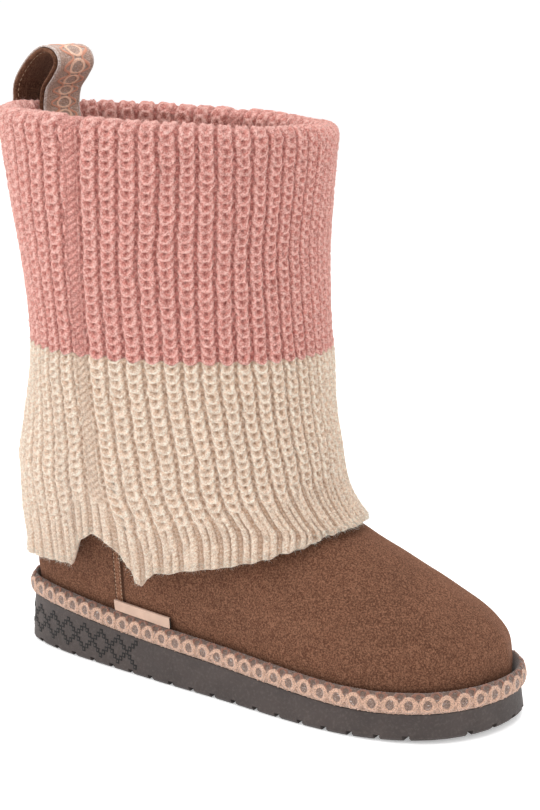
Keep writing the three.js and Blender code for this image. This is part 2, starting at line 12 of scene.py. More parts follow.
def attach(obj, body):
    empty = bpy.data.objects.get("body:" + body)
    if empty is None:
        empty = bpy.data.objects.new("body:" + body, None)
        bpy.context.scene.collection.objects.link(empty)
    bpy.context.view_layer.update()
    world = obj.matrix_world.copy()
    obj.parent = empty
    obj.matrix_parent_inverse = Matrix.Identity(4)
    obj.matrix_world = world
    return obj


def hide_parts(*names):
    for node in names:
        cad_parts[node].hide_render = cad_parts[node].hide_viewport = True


bl_info = {
    "name": "Mid-calf boot",
    "version": (1, 0, 0),
    "blender": (4, 5, 0),
    "location": "View3D > Sidebar > Boot",
    "description": "Dresses the frame of a mid-calf knit boot and sets up a small studio",
    "category": "Add Mesh",
}

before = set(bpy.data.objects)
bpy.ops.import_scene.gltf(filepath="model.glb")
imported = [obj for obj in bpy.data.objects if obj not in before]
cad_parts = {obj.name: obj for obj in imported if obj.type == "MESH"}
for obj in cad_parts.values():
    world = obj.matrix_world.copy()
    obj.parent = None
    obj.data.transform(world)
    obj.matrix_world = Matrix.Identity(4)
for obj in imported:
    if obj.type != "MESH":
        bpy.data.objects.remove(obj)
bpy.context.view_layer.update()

# Millimetres of the boot's own drawing, with the heel's back at x = 0
MM = 0.001
heel_centre = 38.5
sole_length = 270
ball_width = 97
heel_rise = 26
forefoot_rise = 12.4
toe_spring = 2
spring_start = 0.72
instep_height = 87
collar_height = 270
collar_tilt = 6
collar_roll = 5.5
collar_depth = 161.2
collar_width = 134.4
collar_back = 1.8
side_seam = 73.5
upper_wall = 2.2
strip_width = 5.2
strip_rise = 0.8
knit_wall = 4.5
knit_slack = 10
hem_wall = 3.2
facing_wall = 3.4
facing_depth = 34
facing_ease = 0.6
rim_rise = 5.6
ribs = 52
hem_back = 48
hem_side = 55
slit_height = 18.6
slit_width = 44
rand_height = 10
rand_thickness = 5
loop_width = 28
loop_strap = 2
loop_height = 26
loop_offset = 5.5
loop_tail = 26
loop_slack = 2.2
ribbon_width = 26
ribbon_thickness = 0.9
gap = 0.3
rear_rib_share = 0.423
# How far the outline's step for a direction reaches, as a share of the way from heel to toe
turn_step = 0.004

# Ribbons' motifs: half length, half width and middle of a ring, then an arch or a wave
RAND_RING = (2.75, 3.3, 0.0)
RAND_ARCH = (2.3, 1.9, 4.0)
LOOP_RING = (2.75, 4.6, 1.0)
LOOP_WAVE = (6.0, 2.7)

# Counts that set how fine the pieces are
upper_columns_each_side = 123
rand_columns_each_motif = 20
lattice_steps = 6
hairs_each_piece = 8192

# Along the sole, reach of the outer side, reach of the inner side
SOLE_OUTLINE = [
    (0, 0, 0), (0.025, 0.238, 0.21), (0.075, 0.316, 0.318), (0.16, 0.367, 0.365),
    (0.27, 0.4, 0.371), (0.4, 0.434, 0.378), (0.52, 0.456, 0.408), (0.64, 0.488, 0.462),
    (0.75, 0.495, 0.5), (0.85, 0.449, 0.479), (0.93, 0.329, 0.407), (0.98, 0.139, 0.284),
    (1, -0.102, 0.102),
]
SOLE_WEDGE = [(0, 1), (0.12, 0.83), (0.27, 0.58), (0.45, 0.4), (0.62, 0.22), (0.8, 0.03), (1, 0)]
# Height, back, front, half width, how far the outline keeps the sole's shape
FOOT_SECTIONS = [
    (0.15, 0.017, 0.981, 0.337, 0.98), (0.3, 0.013, 0.972, 0.353, 0.88),
    (0.45, 0.011, 0.935, 0.367, 0.64), (0.6, 0.011, 0.87, 0.38, 0.38),
    (0.75, 0.013, 0.797, 0.391, 0.19), (0.88, 0.0145, 0.727, 0.402, 0.07),
    (1, 0.0165, 0.665, 0.413, 0),
]
# Height, back, front, half width
SHAFT_SECTIONS = [
    (0.08, 0.018, 1.01, 0.312), (0.18, 0.04, 0.968, 0.336), (0.32, 0.073, 0.93, 0.37),
    (0.48, 0.093, 0.934, 0.414), (0.66, 0.085, 0.958, 0.455), (0.82, 0.046, 0.976, 0.482),
    (1, 0, 1, 0.5),
]
# Height, slack behind, in front and at the sides
SLEEVE_SLACK = [
    (0.17, 0.37, 1.4, 0.22), (0.225, 0.57, 1.4, 0.32), (0.283, 0.62, 1.1, 0.54),
    (0.322, 0.6, 0.64, 0.74), (0.347, 0.6, 0.78, 0.82), (0.389, 0.56, 1, 0.9),
    (0.445, 0.34, 1.18, 0.82), (0.566, 0.12, 1.28, 0.72), (0.679, 0.06, 0.78, 0.38),
    (0.789, 0.08, 0.28, 0.22), (0.898, 0.03, 0.14, 0.06), (1, 0, 0, 0),
]
SLIT_EDGE = [
    (-1.05, 0), (-0.88, 0.37), (-0.7, 0.73), (-0.49, 0.91), (-0.28, 1), (-0.05, 0.94), (0.24, 0.72),
    (0.52, 0.41), (0.76, 0.03), (0.98, -0.36), (1.12, -0.2), (1.36, 0),
]
RAND_SECTION = [
    (0.32, 0), (-0.02, 0.2), (-0.12, 0.52), (0.02, 0.82), (0.32, 0.99), (0.62, 0.94), (0.96, 0.2),
    (0.96, 0),
]
LOOP_PATH = [
    (-1, 0), (-0.85, 0.36), (0.1, 0.78), (1.1, 1), (1.9, 0.95), (2.15, 0.75), (1.75, 0.52),
    (1.2, 0.28), (1, 0),
]
# Soft troughs of the vamp: middle x and z, length, width, depth, lean in degrees
VAMP_CREASES = [
    (150, 74, 46, 8, 0.7, 24), (158, 62, 40, 7, 0.45, 30), (120, 52, 34, 8, 0.5, -10),
    (205, 40, 30, 9, 0.35, 40), (40, 46, 30, 7, 0.5, 8),
]


def mix(a, b, t):
    return a + (b - a) * t


def ease(t):
    t = np.clip(t, 0, 1)
    return t * t * (3 - 2 * t)


def unit(vector):
    return vector / np.linalg.norm(vector, axis=-1, keepdims=True)


def travelled(points):
    """How far along a row of points each of them is."""
    return np.concatenate([[0], np.cumsum(np.linalg.norm(np.diff(points, axis=0), axis=1))])


def spline(a, b, c, d, t):
    """A point between b and c on a smooth curve through four points."""
    return 0.5 * (2 * b + (c - a) * t + (2 * a - 5 * b + 4 * c - d) * t**2 + (3 * b - a - 3 * c + d) * t**3)


def through(rows, column):
    """A smooth function of a table's first column, held at its end values."""
    x = np.array([row[0] for row in rows], float)
    y = np.array([row[column] for row in rows], float)
    before = np.maximum(np.arange(len(x)) - 1, 0)
    after = np.minimum(np.arange(len(x)) + 1, len(x) - 1)
    slope = (y[after] - y[before]) / (x[after] - x[before])

    def at(value):
        a = np.clip(value, x[0], x[-1])
        i = np.clip(np.searchsorted(x, a, side="right") - 1, 0, len(x) - 2)
        span = x[i + 1] - x[i]
        t = (a - x[i]) / span
        bend = t * (1 - t) * span
        return mix(y[i], y[i + 1], ease(t)) + bend * ((1 - t) * slope[i] - t * slope[i + 1])

    return at


def round_end(along):
    return 2 * np.sqrt(np.maximum(0, along * (1 - along)))


plan_centre = through([(a, (inner - outer) / 2) for a, outer, inner in SOLE_OUTLINE], 1)
plan_half = through([(a, (inner + outer) / 2 / round_end(a)) for a, outer, inner in SOLE_OUTLINE[1:-1]], 1)
wedge = through(SOLE_WEDGE, 1)


def ground(x):
    return toe_spring * ease((x / sole_length - spring_start) / (1 - spring_start))


def sole_top(x):
    return ground(x) + mix(forefoot_rise, heel_rise, wedge(x / sole_length))


def plan_point(turn):
    """A point of the sole's outline: 0 at the heel, by the outer side to 1 at the toe and back to 2."""
    turn = np.mod(turn, 2)
    along = (1 - np.cos(np.pi * turn)) / 2
    side = np.where(turn <= 1, -1, 1)
    y = plan_centre(along) + side * plan_half(along) * round_end(along)
    return np.stack([along * sole_length, y * ball_width], -1)


def plan_inset(turn, inset):
    along = unit(plan_point(turn + turn_step) - plan_point(turn - turn_step))
    inward = np.stack([-along[..., 1], along[..., 0]], -1)
    return plan_point(turn) + inward * np.asarray(inset)[..., None]


samples = np.arange(800) / 400
foot_points = plan_inset(samples, rand_thickness + gap)
outer_half = foot_points[samples <= 1]
inner_half = foot_points[samples > 1]
outer_half = outer_half[np.argsort(outer_half[:, 0])]
inner_half = inner_half[np.argsort(inner_half[:, 0])]
plan_back, plan_front = outer_half[0, 0], outer_half[-1, 0]


def foot_reach(x):
    low = np.interp(x, outer_half[:, 0], outer_half[:, 1])
    high = np.interp(x, inner_half[:, 0], inner_half[:, 1])
    return low, np.where(x >= plan_front, low, high)


def foot_centre(x):
    low, high = foot_reach(x)
    return (low + high) / 2


def foot_half(x):
    low, high = foot_reach(x)
    return np.where(x <= plan_back, 0, np.maximum(0, (high - low) / 2))


sole_at_seam = float(sole_top(side_seam))
foot_rise = instep_height - sole_at_seam
shaft_rise = collar_height - instep_height
UPPER_SECTIONS = [
    (sole_at_seam, plan_back, plan_front, float(foot_half(side_seam)), 1),
    *[
        (sole_at_seam + up * foot_rise, back * sole_length, front * sole_length, half * ball_width, foot)
        for up, back, front, half, foot in FOOT_SECTIONS
    ],
    *[
        (
            instep_height + up * shaft_rise,
            collar_back + back * collar_depth,
            collar_back + front * collar_depth,
            half * collar_width,
            0,
        )
        for up, back, front, half in SHAFT_SECTIONS
    ],
]
upper_columns = [through(UPPER_SECTIONS, column) for column in (1, 2, 3, 4)]
slack_rows = [(row[0] * collar_height, *row[1:]) for row in SLEEVE_SLACK]
slack_columns = [through(slack_rows, column) for column in (1, 2, 3)]
slit_lift = through(SLIT_EDGE, 1)
sleeve_stand = knit_wall + gap
rim_foot = collar_height + 2 * gap


def upper_at(height):
    return [column(height) for column in upper_columns]


def collar_lift(x, y, height):
    fade = ease((height / collar_height - 0.68) / 0.32)
    return fade * (collar_tilt * (side_seam - x) / collar_depth - collar_roll * y / collar_width)


def oval(share):
    return np.sqrt(np.maximum(0, 1 - share**2))


def along_side(share, back, front):
    """From -1 at the back through 0 at the side seam to 1 in front."""
    return side_seam + share * np.where(share < 0, side_seam - back, front - side_seam)


def section_point(section, share, side):
    back, front, half, foot = section
    x = along_side(share, back, front)
    foot_x = along_side(share, plan_back, plan_front)
    shape = foot_half(foot_x) / foot_half(side_seam)
    return x, foot * foot_centre(foot_x) + side * half * mix(oval(share), shape, foot)


def upper_point(height, share, side):
    """A point of the upper's outer face, the lowest rings following the sole's top."""
    x, y = section_point(upper_at(height), share, side)
    fade = 1 - ease((height - sole_at_seam) / 34)
    z = height + fade * (sole_top(x) - sole_at_seam + gap) + collar_lift(x, y, height)
    return np.stack([x, y, z], -1)


def sleeve_at(height):
    back, front, half, _ = upper_at(np.maximum(height, instep_height))
    slack_back, slack_front, slack_side = [knit_slack * column(height) for column in slack_columns]
    return (
        back - sleeve_stand - slack_back,
        front + sleeve_stand + slack_front,
        half + sleeve_stand + slack_side,
    )


def sleeve_point(height, share, side):
    """A point of the knit's outer face at its ribs' crests."""
    back, front, half = sleeve_at(height)
    x = along_side(share, back, front)
    free = half * oval(share)
    foot = upper_at(height)
    reach = np.where(x < side_seam, side_seam - foot[0], foot[1] - side_seam)
    foot_share = np.clip((x - side_seam) / reach, -1, 1)
    foot_side = section_point(foot, foot_share, side)[1] * side
    y = side * np.maximum(free, np.minimum(free, sleeve_stand * 2) + foot_side)
    return np.stack([x, y, height + collar_lift(x, y, height)], -1)


rear_quarter = round(ribs * rear_rib_share)
front_quarter = ribs - rear_quarter


def rib_share(rib):
    """Share of the way from the seam, and side, of a rib counted from the back by the outer side."""
    half_ribs = np.mod(rib, ribs) * 2
    side = np.where(half_ribs <= ribs, -1, 1)
    step = np.where(half_ribs <= ribs, half_ribs, 2 * ribs - half_ribs)
    rear = -np.cos(np.pi / 2 * np.minimum(step, rear_quarter) / rear_quarter)
    front = np.sin(np.pi / 2 * np.maximum(step - rear_quarter, 0) / front_quarter)
    return np.where(step < rear_quarter, rear, front), side


def hem_height(share, x):
    rear = mix(hem_side, hem_back, np.abs(share) ** 1.5)
    front = mix(hem_side, instep_height, np.abs(share) ** 1.4)
    slit = slit_lift((x - side_seam + 1) / (slit_width / 2))
    return np.where(share < 0, rear, front) + slit_height * slit


def normals_of(points):
    """Outward directions of rows of points round the boot, the rows rising."""
    ring = points[:, :-1]
    round_way = np.roll(ring, -1, 1) - np.roll(ring, 1, 1)
    round_way = np.concatenate([round_way, round_way[:, :1]], 1)
    normal = np.cross(round_way, np.gradient(points, axis=0))
    return normal / np.maximum(np.linalg.norm(normal, axis=-1, keepdims=True), 1e-9)


def noise_field(u, v, seed, waves=14):
    """Smooth seeded noise of two values, about one unit across, between -1 and 1."""
    dice = np.random.default_rng(seed)
    total = np.zeros(np.broadcast(u, v).shape)
    for _ in range(waves):
        a, b, phase = dice.normal(0, 3), dice.normal(0, 3), dice.uniform(0, 2 * np.pi)
        total += np.sin(a * u + b * v + phase)
    return total / math.sqrt(waves)


# Shader expressions


class Wire:
    """A socket's output. Python's signs on it add Math nodes."""

    def __init__(self, finish, socket):
        self.finish = finish
        self.socket = socket

    def math(self, operation, *others):
        return self.finish.node("ShaderNodeMath", {"operation": operation}, [self, *others])

    def __add__(self, other):
        return self.math("ADD", other)

    def __sub__(self, other):
        return self.math("SUBTRACT", other)

    def __rsub__(self, other):
        return self.finish.node("ShaderNodeMath", {"operation": "SUBTRACT"}, [other, self])

    def __mul__(self, other):
        return self.math("MULTIPLY", other)

    def __truediv__(self, other):
        return self.math("DIVIDE", other)

    def __pow__(self, other):
        return self.math("POWER", other)

    def __mod__(self, other):
        return self.math("FLOORED_MODULO", other)

    __radd__ = __add__
    __rmul__ = __mul__

    def bent(self, low, high):
        """0 below low, 1 above high and smooth between."""
        inputs = {"Value": self, "From Min": low, "From Max": high, "To Min": 0, "To Max": 1}
        return self.finish.node("ShaderNodeMapRange", {"interpolation_type": "SMOOTHSTEP"}, inputs)


class Finish:
    """One material: a Principled shader and the nodes that feed it."""

    def __init__(self, name):
        self.material = bpy.data.materials.new(name)
        self.material.use_nodes = True
        self.tree = self.material.node_tree
        self.shader = self.tree.nodes["Principled BSDF"]

    def node(self, kind, settings, inputs, output=0):
        made = self.tree.nodes.new(kind)
        for name, value in settings.items():
            setattr(made, name, value)
        for key, value in inputs.items() if isinstance(inputs, dict) else enumerate(inputs):
            self.feed(made.inputs[key], value)
        return Wire(self, made.outputs[output])

    def feed(self, socket, value):
        if isinstance(value, Wire):
            self.tree.links.new(value.socket, socket)
        elif socket.type == "RGBA" and len(value) == 3:
            socket.default_value = (*value, 1)
        else:
            socket.default_value = value

    def place(self):
        return self.node("ShaderNodeTexCoord", {}, {}, "Object")

    def uv(self):
        """The two numbers of the piece's own map."""
        return self.axes(self.node("ShaderNodeUVMap", {}, {}))[:2]

    def axes(self, vector):
        return [self.node("ShaderNodeSeparateXYZ", {}, [vector], axis) for axis in (0, 1, 2)]

    def stretched(self, vector, scale):
        return self.node("ShaderNodeVectorMath", {"operation": "MULTIPLY"}, [vector, scale])

    def noise(self, vector, scale, detail=2.0, roughness=0.5):
        inputs = {"Vector": vector, "Scale": scale, "Detail": detail, "Roughness": roughness}
        return self.node("ShaderNodeTexNoise", {}, inputs)

    def cells(self, vector, scale):
        return self.node("ShaderNodeTexVoronoi", {"feature": "F1"}, {"Vector": vector, "Scale": scale})

    def blend(self, share, low, high):
        return self.node("ShaderNodeMix", {"data_type": "RGBA"}, {0: share, 6: low, 7: high}, 2)

    def tones(self, share, colour, low, high):
        """From one multiple of a colour to another."""
        return self.blend(share, times(colour, low), times(colour, high))

    def relief(self, height, distance):
        inputs = {"Height": height, "Distance": distance, "Strength": 1.0}
        return self.node("ShaderNodeBump", {}, inputs)

    def done(self, **sockets):
        for name, value in sockets.items():
            self.feed(self.shader.inputs[name.replace("_", " ")], value)
        return self.material


def linear(red, green, blue):
    """A colour given as screen values from 0 to 255."""
    shares = [value / 255 for value in (red, green, blue)]
    return tuple(c / 12.92 if c <= 0.04045 else ((c + 0.055) / 1.055) ** 2.4 for c in shares)


def times(colour, factor):
    return tuple(min(1.0, c * factor) for c in colour)


# Meshes

# Edges that bend more than this are kept crisp
sharp = math.radians(35)


def in_frame(points):
    """Drawing millimetres to the frame's metres."""
    return (np.asarray(points, float) - [heel_centre, 0, 0]) * MM


def opened(mesh):
    shape = bmesh.new()
    shape.from_mesh(mesh)
    return shape


def written(shape, mesh):
    shape.to_mesh(mesh)
    shape.free()
    return mesh


def smooth_faces(shape):
    for face in shape.faces:
        face.smooth = True


def laid_grid(name, points, maps):
    """A grid whose corners lie on rows of points, welded where its edges meet."""
    rows, columns = points.shape[:2]
    shape = bmesh.new()
    shape.loops.layers.uv.new("UVMap")
    bmesh.ops.create_grid(shape, x_segments=columns - 1, y_segments=rows - 1, size=1, calc_uvs=True)
    mesh = written(shape, bpy.data.meshes.new(name))
    flat = np.empty(len(mesh.vertices) * 3)
    mesh.vertices.foreach_get("co", flat)
    column = np.rint((flat[0::3] + 1) / 2 * (columns - 1)).astype(int)
    row = np.rint((flat[1::3] + 1) / 2 * (rows - 1)).astype(int)
    mesh.vertices.foreach_set("co", in_frame(points)[row, column].ravel())
    corner = np.empty(len(mesh.loops), int)
    mesh.loops.foreach_get("vertex_index", corner)
    mesh.uv_layers[0].data.foreach_set("uv", maps[row[corner], column[corner]].ravel())
    shape = opened(mesh)
    bmesh.ops.remove_doubles(shape, verts=shape.verts, dist=1e-7)
    bmesh.ops.dissolve_degenerate(shape, edges=shape.edges, dist=1e-8)
    bmesh.ops.recalc_face_normals(shape, faces=shape.faces)
    smooth_faces(shape)
    return written(shape, mesh)


def added(name, data):
    made = bpy.data.objects.new(name, data)
    bpy.context.scene.collection.objects.link(made)
    return made


def add_piece(name, mesh, materials, nodes=()):
    """A finished piece that rides on the boot and may stand for frame nodes."""
    piece = added(name, mesh)
    for material in materials:
        mesh.materials.append(material)
    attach(piece, "root")
    if nodes:
        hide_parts(*nodes)
    return piece


def merged_copy(node, name):
    """A welded copy of a frame node, smooth except at its sharp edges."""
    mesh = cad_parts[node].data.copy()
    mesh.name = name
    mesh.materials.clear()
    shape = opened(mesh)
    bmesh.ops.remove_doubles(shape, verts=shape.verts, dist=1e-6)
    flat = math.radians(0.5)
    bmesh.ops.dissolve_limit(
        shape, angle_limit=flat, verts=shape.verts, edges=shape.edges, use_dissolve_boundaries=False
    )
    smooth_faces(shape)
    for edge in shape.edges:
        edge.smooth = len(edge.link_faces) == 2 and edge.calc_face_angle() < sharp
    return written(shape, mesh)


def add_bevel(piece, width, segments=2):
    bevel = piece.modifiers.new("Soft edges", "BEVEL")
    bevel.width = width
    bevel.segments = segments
    bevel.limit_method = "ANGLE"
    bevel.angle_limit = sharp
    bevel.harden_normals = True


def copies_of(name, shape, count):
    """A mesh of copies of a small shape, the number of each corner's copy and its place in the shape."""
    layer = shape.verts.layers.int.new("copy")
    made = 1
    while made < count:
        new = bmesh.ops.duplicate(shape, geom=shape.verts[:] + shape.edges[:] + shape.faces[:])
        for item in new["geom"]:
            if isinstance(item, bmesh.types.BMVert):
                item[layer] += made
        made *= 2
    spare = [vertex for vertex in shape.verts if vertex[layer] >= count]
    bmesh.ops.delete(shape, geom=spare, context="VERTS")
    smooth_faces(shape)
    mesh = written(shape, bpy.data.meshes.new(name))
    number = np.empty(len(mesh.vertices), int)
    mesh.attributes["copy"].data.foreach_get("value", number)
    mesh.attributes.remove(mesh.attributes["copy"])
    local = np.empty(len(mesh.vertices) * 3)
    mesh.vertices.foreach_get("co", local)
    return mesh, number, local.reshape(-1, 3)


def placed(mesh, points):
    """Moves a mesh's corners to points of the drawing and turns its faces outwards."""
    mesh.vertices.foreach_set("co", in_frame(points).ravel())
    shape = opened(mesh)
    bmesh.ops.recalc_face_normals(shape, faces=shape.faces)
    return written(shape, mesh)


def bead():
    shape = bmesh.new()
    bmesh.ops.create_icosphere(shape, subdivisions=1, radius=0.5)
    return shape


# Finishes


def rubber_finish(settings):
    finish = Finish("Foamed rubber")
    place = finish.place()
    cloud = finish.noise(place, 60, 3).bent(0.3, 0.7)
    dust = finish.noise(place, 700, 3, 0.6).bent(0.45, 0.8)
    streaks = finish.noise(finish.stretched(place, (14, 14, 900)), 1, 3, 0.7).bent(0.6, 0.75)
    tint = finish.tones(cloud, settings.colour, 0.88, 1.1)
    tint = finish.blend(dust * 0.22, tint, settings.scuff_colour)
    tint = finish.blend(streaks * 0.3, tint, times(settings.colour, 0.6))
    grain = finish.noise(place, 2600, 2, 0.6) + finish.noise(place, 500, 2) * 0.6 - streaks * 0.8
    rough = finish.noise(place, 180, 3) * 0.2 + 0.5
    return finish.done(
        Base_Color=tint,
        Roughness=rough,
        Normal=finish.relief(grain, 0.00012),
        Specular_IOR_Level=0.4,
    )


# shade scales the suede's colours; below 1 it is painted shade.
def suede_finish(name, colour, nap, shade=1.0, piped_with_shade=False):
    finish = Finish(name)
    place = finish.place()
    patches = finish.noise(place, 30, 4, 0.6).bent(0.32, 0.68)
    brushed = finish.noise(finish.stretched(place, (260, 420, 300)), 1, 4, 0.7).bent(0.3, 0.7)
    flecks = finish.noise(place, 1250, 3, 0.75)
    tint = finish.tones(patches, colour, 0.86 * shade, 1.1 * shade)
    tint = finish.blend(brushed * 0.5, tint, times(nap, 0.9 * shade))
    tint = finish.blend((1 - flecks).bent(0.48, 0.62) * 0.75, tint, times(colour, 0.45 * shade))
    tint = finish.blend(flecks.bent(0.5, 0.64) * 0.65, tint, times(nap, 1.3 * shade))
    if piped_with_shade:
        x, _, z = finish.axes(place)
        away = (x - (side_seam - heel_centre) * MM).math("ABSOLUTE") * 1000.0
        # A band along each side of the raised seam strip is painted dark: painted shade in the groove
        # beside it.
        edge = away.bent(1.7, 2.2) * (1 - away.bent(2.9, 3.7)) * (1 - z.bent(0.09, 0.1))
        inside = (1 - away.bent(1.5, 2.0)) * (1 - z.bent(0.09, 0.1))
        tint = finish.blend(edge * 0.8, tint, times(colour, 0.28))
        tint = finish.blend(inside * flecks.bent(0.42, 0.6) * 0.5, tint, times(nap, 1.6))
    hair = flecks + finish.noise(place, 700, 2, 0.6) * 0.7
    return finish.done(
        Base_Color=tint,
        Roughness=0.95,
        Normal=finish.relief(hair, 0.0003),
        Sheen_Weight=0.75,
        Sheen_Roughness=0.42,
        Sheen_Tint=(*nap, 1),
        Specular_IOR_Level=0.15,
    )


def pile_finish(name, colour):
    finish = Finish(name)
    place = finish.place()
    tufts = finish.cells(place, 420)
    cloud = finish.noise(place, 90, 3).bent(0.3, 0.7)
    tint = finish.tones(cloud, colour, 0.85, 1.1)
    # Darker between the tufts, where the relief is low: painted shade.
    tint = finish.blend(tufts.bent(0.3, 0.9) * 0.5, tint, times(colour, 0.55))
    height = finish.noise(place, 1500, 3) * 0.4 - tufts
    return finish.done(
        Base_Color=tint,
        Roughness=1.0,
        Normal=finish.relief(height, 0.0008),
        Sheen_Weight=0.3,
        Sheen_Roughness=0.6,
    )


def knit_finish(name, colour, pale, deep):
    """Heathered brushed yarn with painted shade between the ribs and a painted highlight on the loops'
    edges. The map holds where loops catch light and how high the face stands.
    """
    finish = Finish(name)
    place = finish.place()
    highlight, depth = finish.uv()
    cloud = finish.noise(place, 50, 3).bent(0.3, 0.7)
    heather = finish.noise(place, 480, 3, 0.65).bent(0.34, 0.66)
    specks = finish.noise(place, 1150, 3, 0.8)
    tint = finish.tones(heather, colour, 0.8, 1.14)
    tint = finish.blend(cloud * 0.35, tint, times(colour, 0.9))
    tint = finish.blend(specks.bent(0.51, 0.63) * 0.75, tint, pale)
    tint = finish.blend((1 - specks).bent(0.51, 0.63) * 0.6, tint, deep)
    # Toward the shade colour where the face is low, most between the ribs: painted shade.
    hollow_shade = 1 - depth.bent(0.1, 0.7)
    tint = finish.blend(hollow_shade * (specks.bent(0.36, 0.6) * -0.5 + 1.0) * 0.85, tint, deep)
    tint = finish.blend((hollow_shade**3) * heather * 0.5, tint, times(deep, 0.55))
    # Paler on the loops' edges: painted highlight.
    tint = finish.blend(highlight * (specks.bent(0.3, 0.6) * 0.85), tint, times(pale, 1.1))
    fibres = finish.noise(finish.stretched(place, (800, 800, 1900)), 1, 3, 0.7)
    height = fibres * 0.8 + specks
    return finish.done(
        Base_Color=tint,
        Roughness=1.0,
        Normal=finish.relief(height, 0.0009),
        Sheen_Weight=0.9,
        Sheen_Roughness=0.5,
        Sheen_Tint=(*pale, 1),
        Specular_IOR_Level=0.1,
    )


def fluff_finish(name, colour):
    finish = Finish(name)
    place = finish.place()
    cloud = finish.noise(place, 400, 2).bent(0.3, 0.7)
    tint = finish.tones(cloud, colour, 0.9, 1.12)
    return finish.done(
        Base_Color=tint,
        Roughness=1.0,
        Sheen_Weight=0.3,
        Specular_IOR_Level=0.1,
        Alpha=0.6,
    )


def ribbon_finish(name, settings, period, ring, wave=None):
    """Woven band of rings and waves; on the rand, painted shade in the lower gaps and along the top edge.
    The map runs along it and across it in millimetres.
    """
    finish = Finish(name)
    place = finish.place()
    along, across = finish.uv()
    twist = ((along + across) * 8.0).math("SINE") * 0.5 + 0.5
    flecks = finish.noise(place, 1900, 2, 0.7)
    wobble = (finish.noise(place, 300, 3, 0.6) - 0.5) * 1.8 + (finish.noise(place, 1000, 2) - 0.5) * 0.9
    x = (((along + wobble * 0.5) / period) % 1.0 - 0.5) * period
    ring_x, ring_y, ring_middle = ring
    y = across + wobble * 0.5 - ring_middle
    round_way = ((x / ring_x) ** 2 + (y / ring_y) ** 2) ** 0.5
    line_low, line_high = (0.35, 0.65) if wave else (0.6, 1.0)
    ring_line = 1 - ((round_way - 1) * ring_x).math("ABSOLUTE").bent(line_low, line_high)
    gain = 1.5 if wave else 0.75
    dim, bright = times(settings.ground, 0.5 * gain), times(settings.ground, 1.2 * gain)
    ground = finish.blend(flecks.bent(0.42, 0.56), dim, bright)
    shine = finish.noise(finish.stretched(place, (700, 700, 2400)), 1, 2).bent(0.6, 0.68)
    ground = finish.blend(shine * 0.65, ground, settings.silver)
    dim, bright = (1.0, 1.4) if wave else (0.45, 1.0)
    thread = finish.tones(flecks.bent(0.35, 0.6), settings.thread, dim, bright)
    accent = finish.tones(twist * flecks, settings.accent, 0.8 * dim, 1.3 * dim)
    silver = finish.blend(flecks.bent(0.4, 0.6), times(settings.ground, 1.1), settings.silver)
    if wave:
        middle, swing = wave
        turn = along * (2 * math.pi / period)
        steep = turn.math("SINE") * (swing * 2 * math.pi / period)
        off = (y.math("ABSOLUTE") - middle + turn.math("COSINE") * swing).math("ABSOLUTE")
        off = off / (steep * steep + 1) ** 0.5
        line = 1 - off.bent(0.5, 0.8)
        tint = finish.blend(line, ground, accent)
        tint = finish.blend(ring_line, tint, thread)
        tint = finish.blend(1 - across.bent(-11.9, -11.0), tint, silver)
        tint = finish.blend(across.bent(11.6, 12.2), tint, silver)
        raised = line.math("MAXIMUM", ring_line)
    else:
        outside = round_way.bent(0.95, 1.1)
        # Below the middle, between the rings, the thread is a darker copy of its colour: painted shade.
        low = finish.tones(flecks.bent(0.36, 0.6), settings.thread, 0.24, 0.7)
        tint = finish.blend(outside * (1 - across.bent(0.6, 2.2)), ground, low)
        half = (((along + wobble) / period + 0.5) % 1.0 - 0.5) * period
        arch_x, arch_y, arch_middle = RAND_ARCH
        arch = ((half / arch_x) ** 2 + ((across - arch_middle) / arch_y) ** 2) ** 0.5
        arch_line = (1 - (arch - 1).math("ABSOLUTE").bent(0.25, 0.5)) * across.bent(2.2, 3.4)
        arch_line = arch_line * flecks.bent(0.34, 0.5)
        off = ((half * 1.8).math("ABSOLUTE") - across.math("ABSOLUTE")).math("ABSOLUTE")
        crossing = 1 - off.bent(0.5, 1.1)
        crossing = crossing * outside * (1 - across.bent(2.0, 3.2))
        tint = finish.blend(across.bent(1.8, 4.0) * outside * 0.7, tint, times(settings.ground, 0.35))
        tint = finish.blend(crossing, tint, thread)
        tint = finish.blend(arch_line, tint, accent)
        tint = finish.blend(ring_line, tint, thread)
        # Darker along the top edge, where the ribbon tucks under the upper: partly the ribbon's grey-brown
        # edge, partly painted shadow.
        tint = finish.blend(across.bent(6.6, 7.8), tint, times(settings.ground, 0.5))
        raised = ring_line.math("MAXIMUM", arch_line).math("MAXIMUM", crossing)
    height = twist * raised * 0.4 + raised * 0.6 + flecks * 0.7
    return finish.done(
        Base_Color=tint,
        Roughness=0.9,
        Normal=finish.relief(height, 0.0004),
        Sheen_Weight=0.3,
        Specular_IOR_Level=0.2,
    )


def tag_finish(settings):
    finish = Finish("Tag tape")
    place = finish.place()
    x, _, z = finish.axes(place)
    weft = (z * 9000.0).math("SINE") * 0.5 + (x * 9000.0).math("SINE") * 0.5
    cloud = finish.noise(place, 150, 2).bent(0.3, 0.7)
    tint = finish.tones(cloud, settings.colour, 0.92, 1.05)
    relief = finish.relief(weft, 0.00004)
    return finish.done(Base_Color=tint, Roughness=0.6, Normal=relief, Sheen_Weight=0.2)


def thread_finish(name, colour):
    finish = Finish(name)
    place = finish.place()
    twist = finish.noise(place, 2500, 2)
    tint = finish.tones(twist, colour, 0.75, 1.15)
    return finish.done(Base_Color=tint, Roughness=0.8, Normal=finish.relief(twist, 0.0001))


# What a user would change


def length(name, text, default):
    return bpy.props.FloatProperty(
        name=name, description=text, default=default, unit="LENGTH", precision=5
    )


def colour(name, text, default):
    return bpy.props.FloatVectorProperty(
        name=name, description=text, subtype="COLOR", size=3, min=0, max=1, default=default
    )


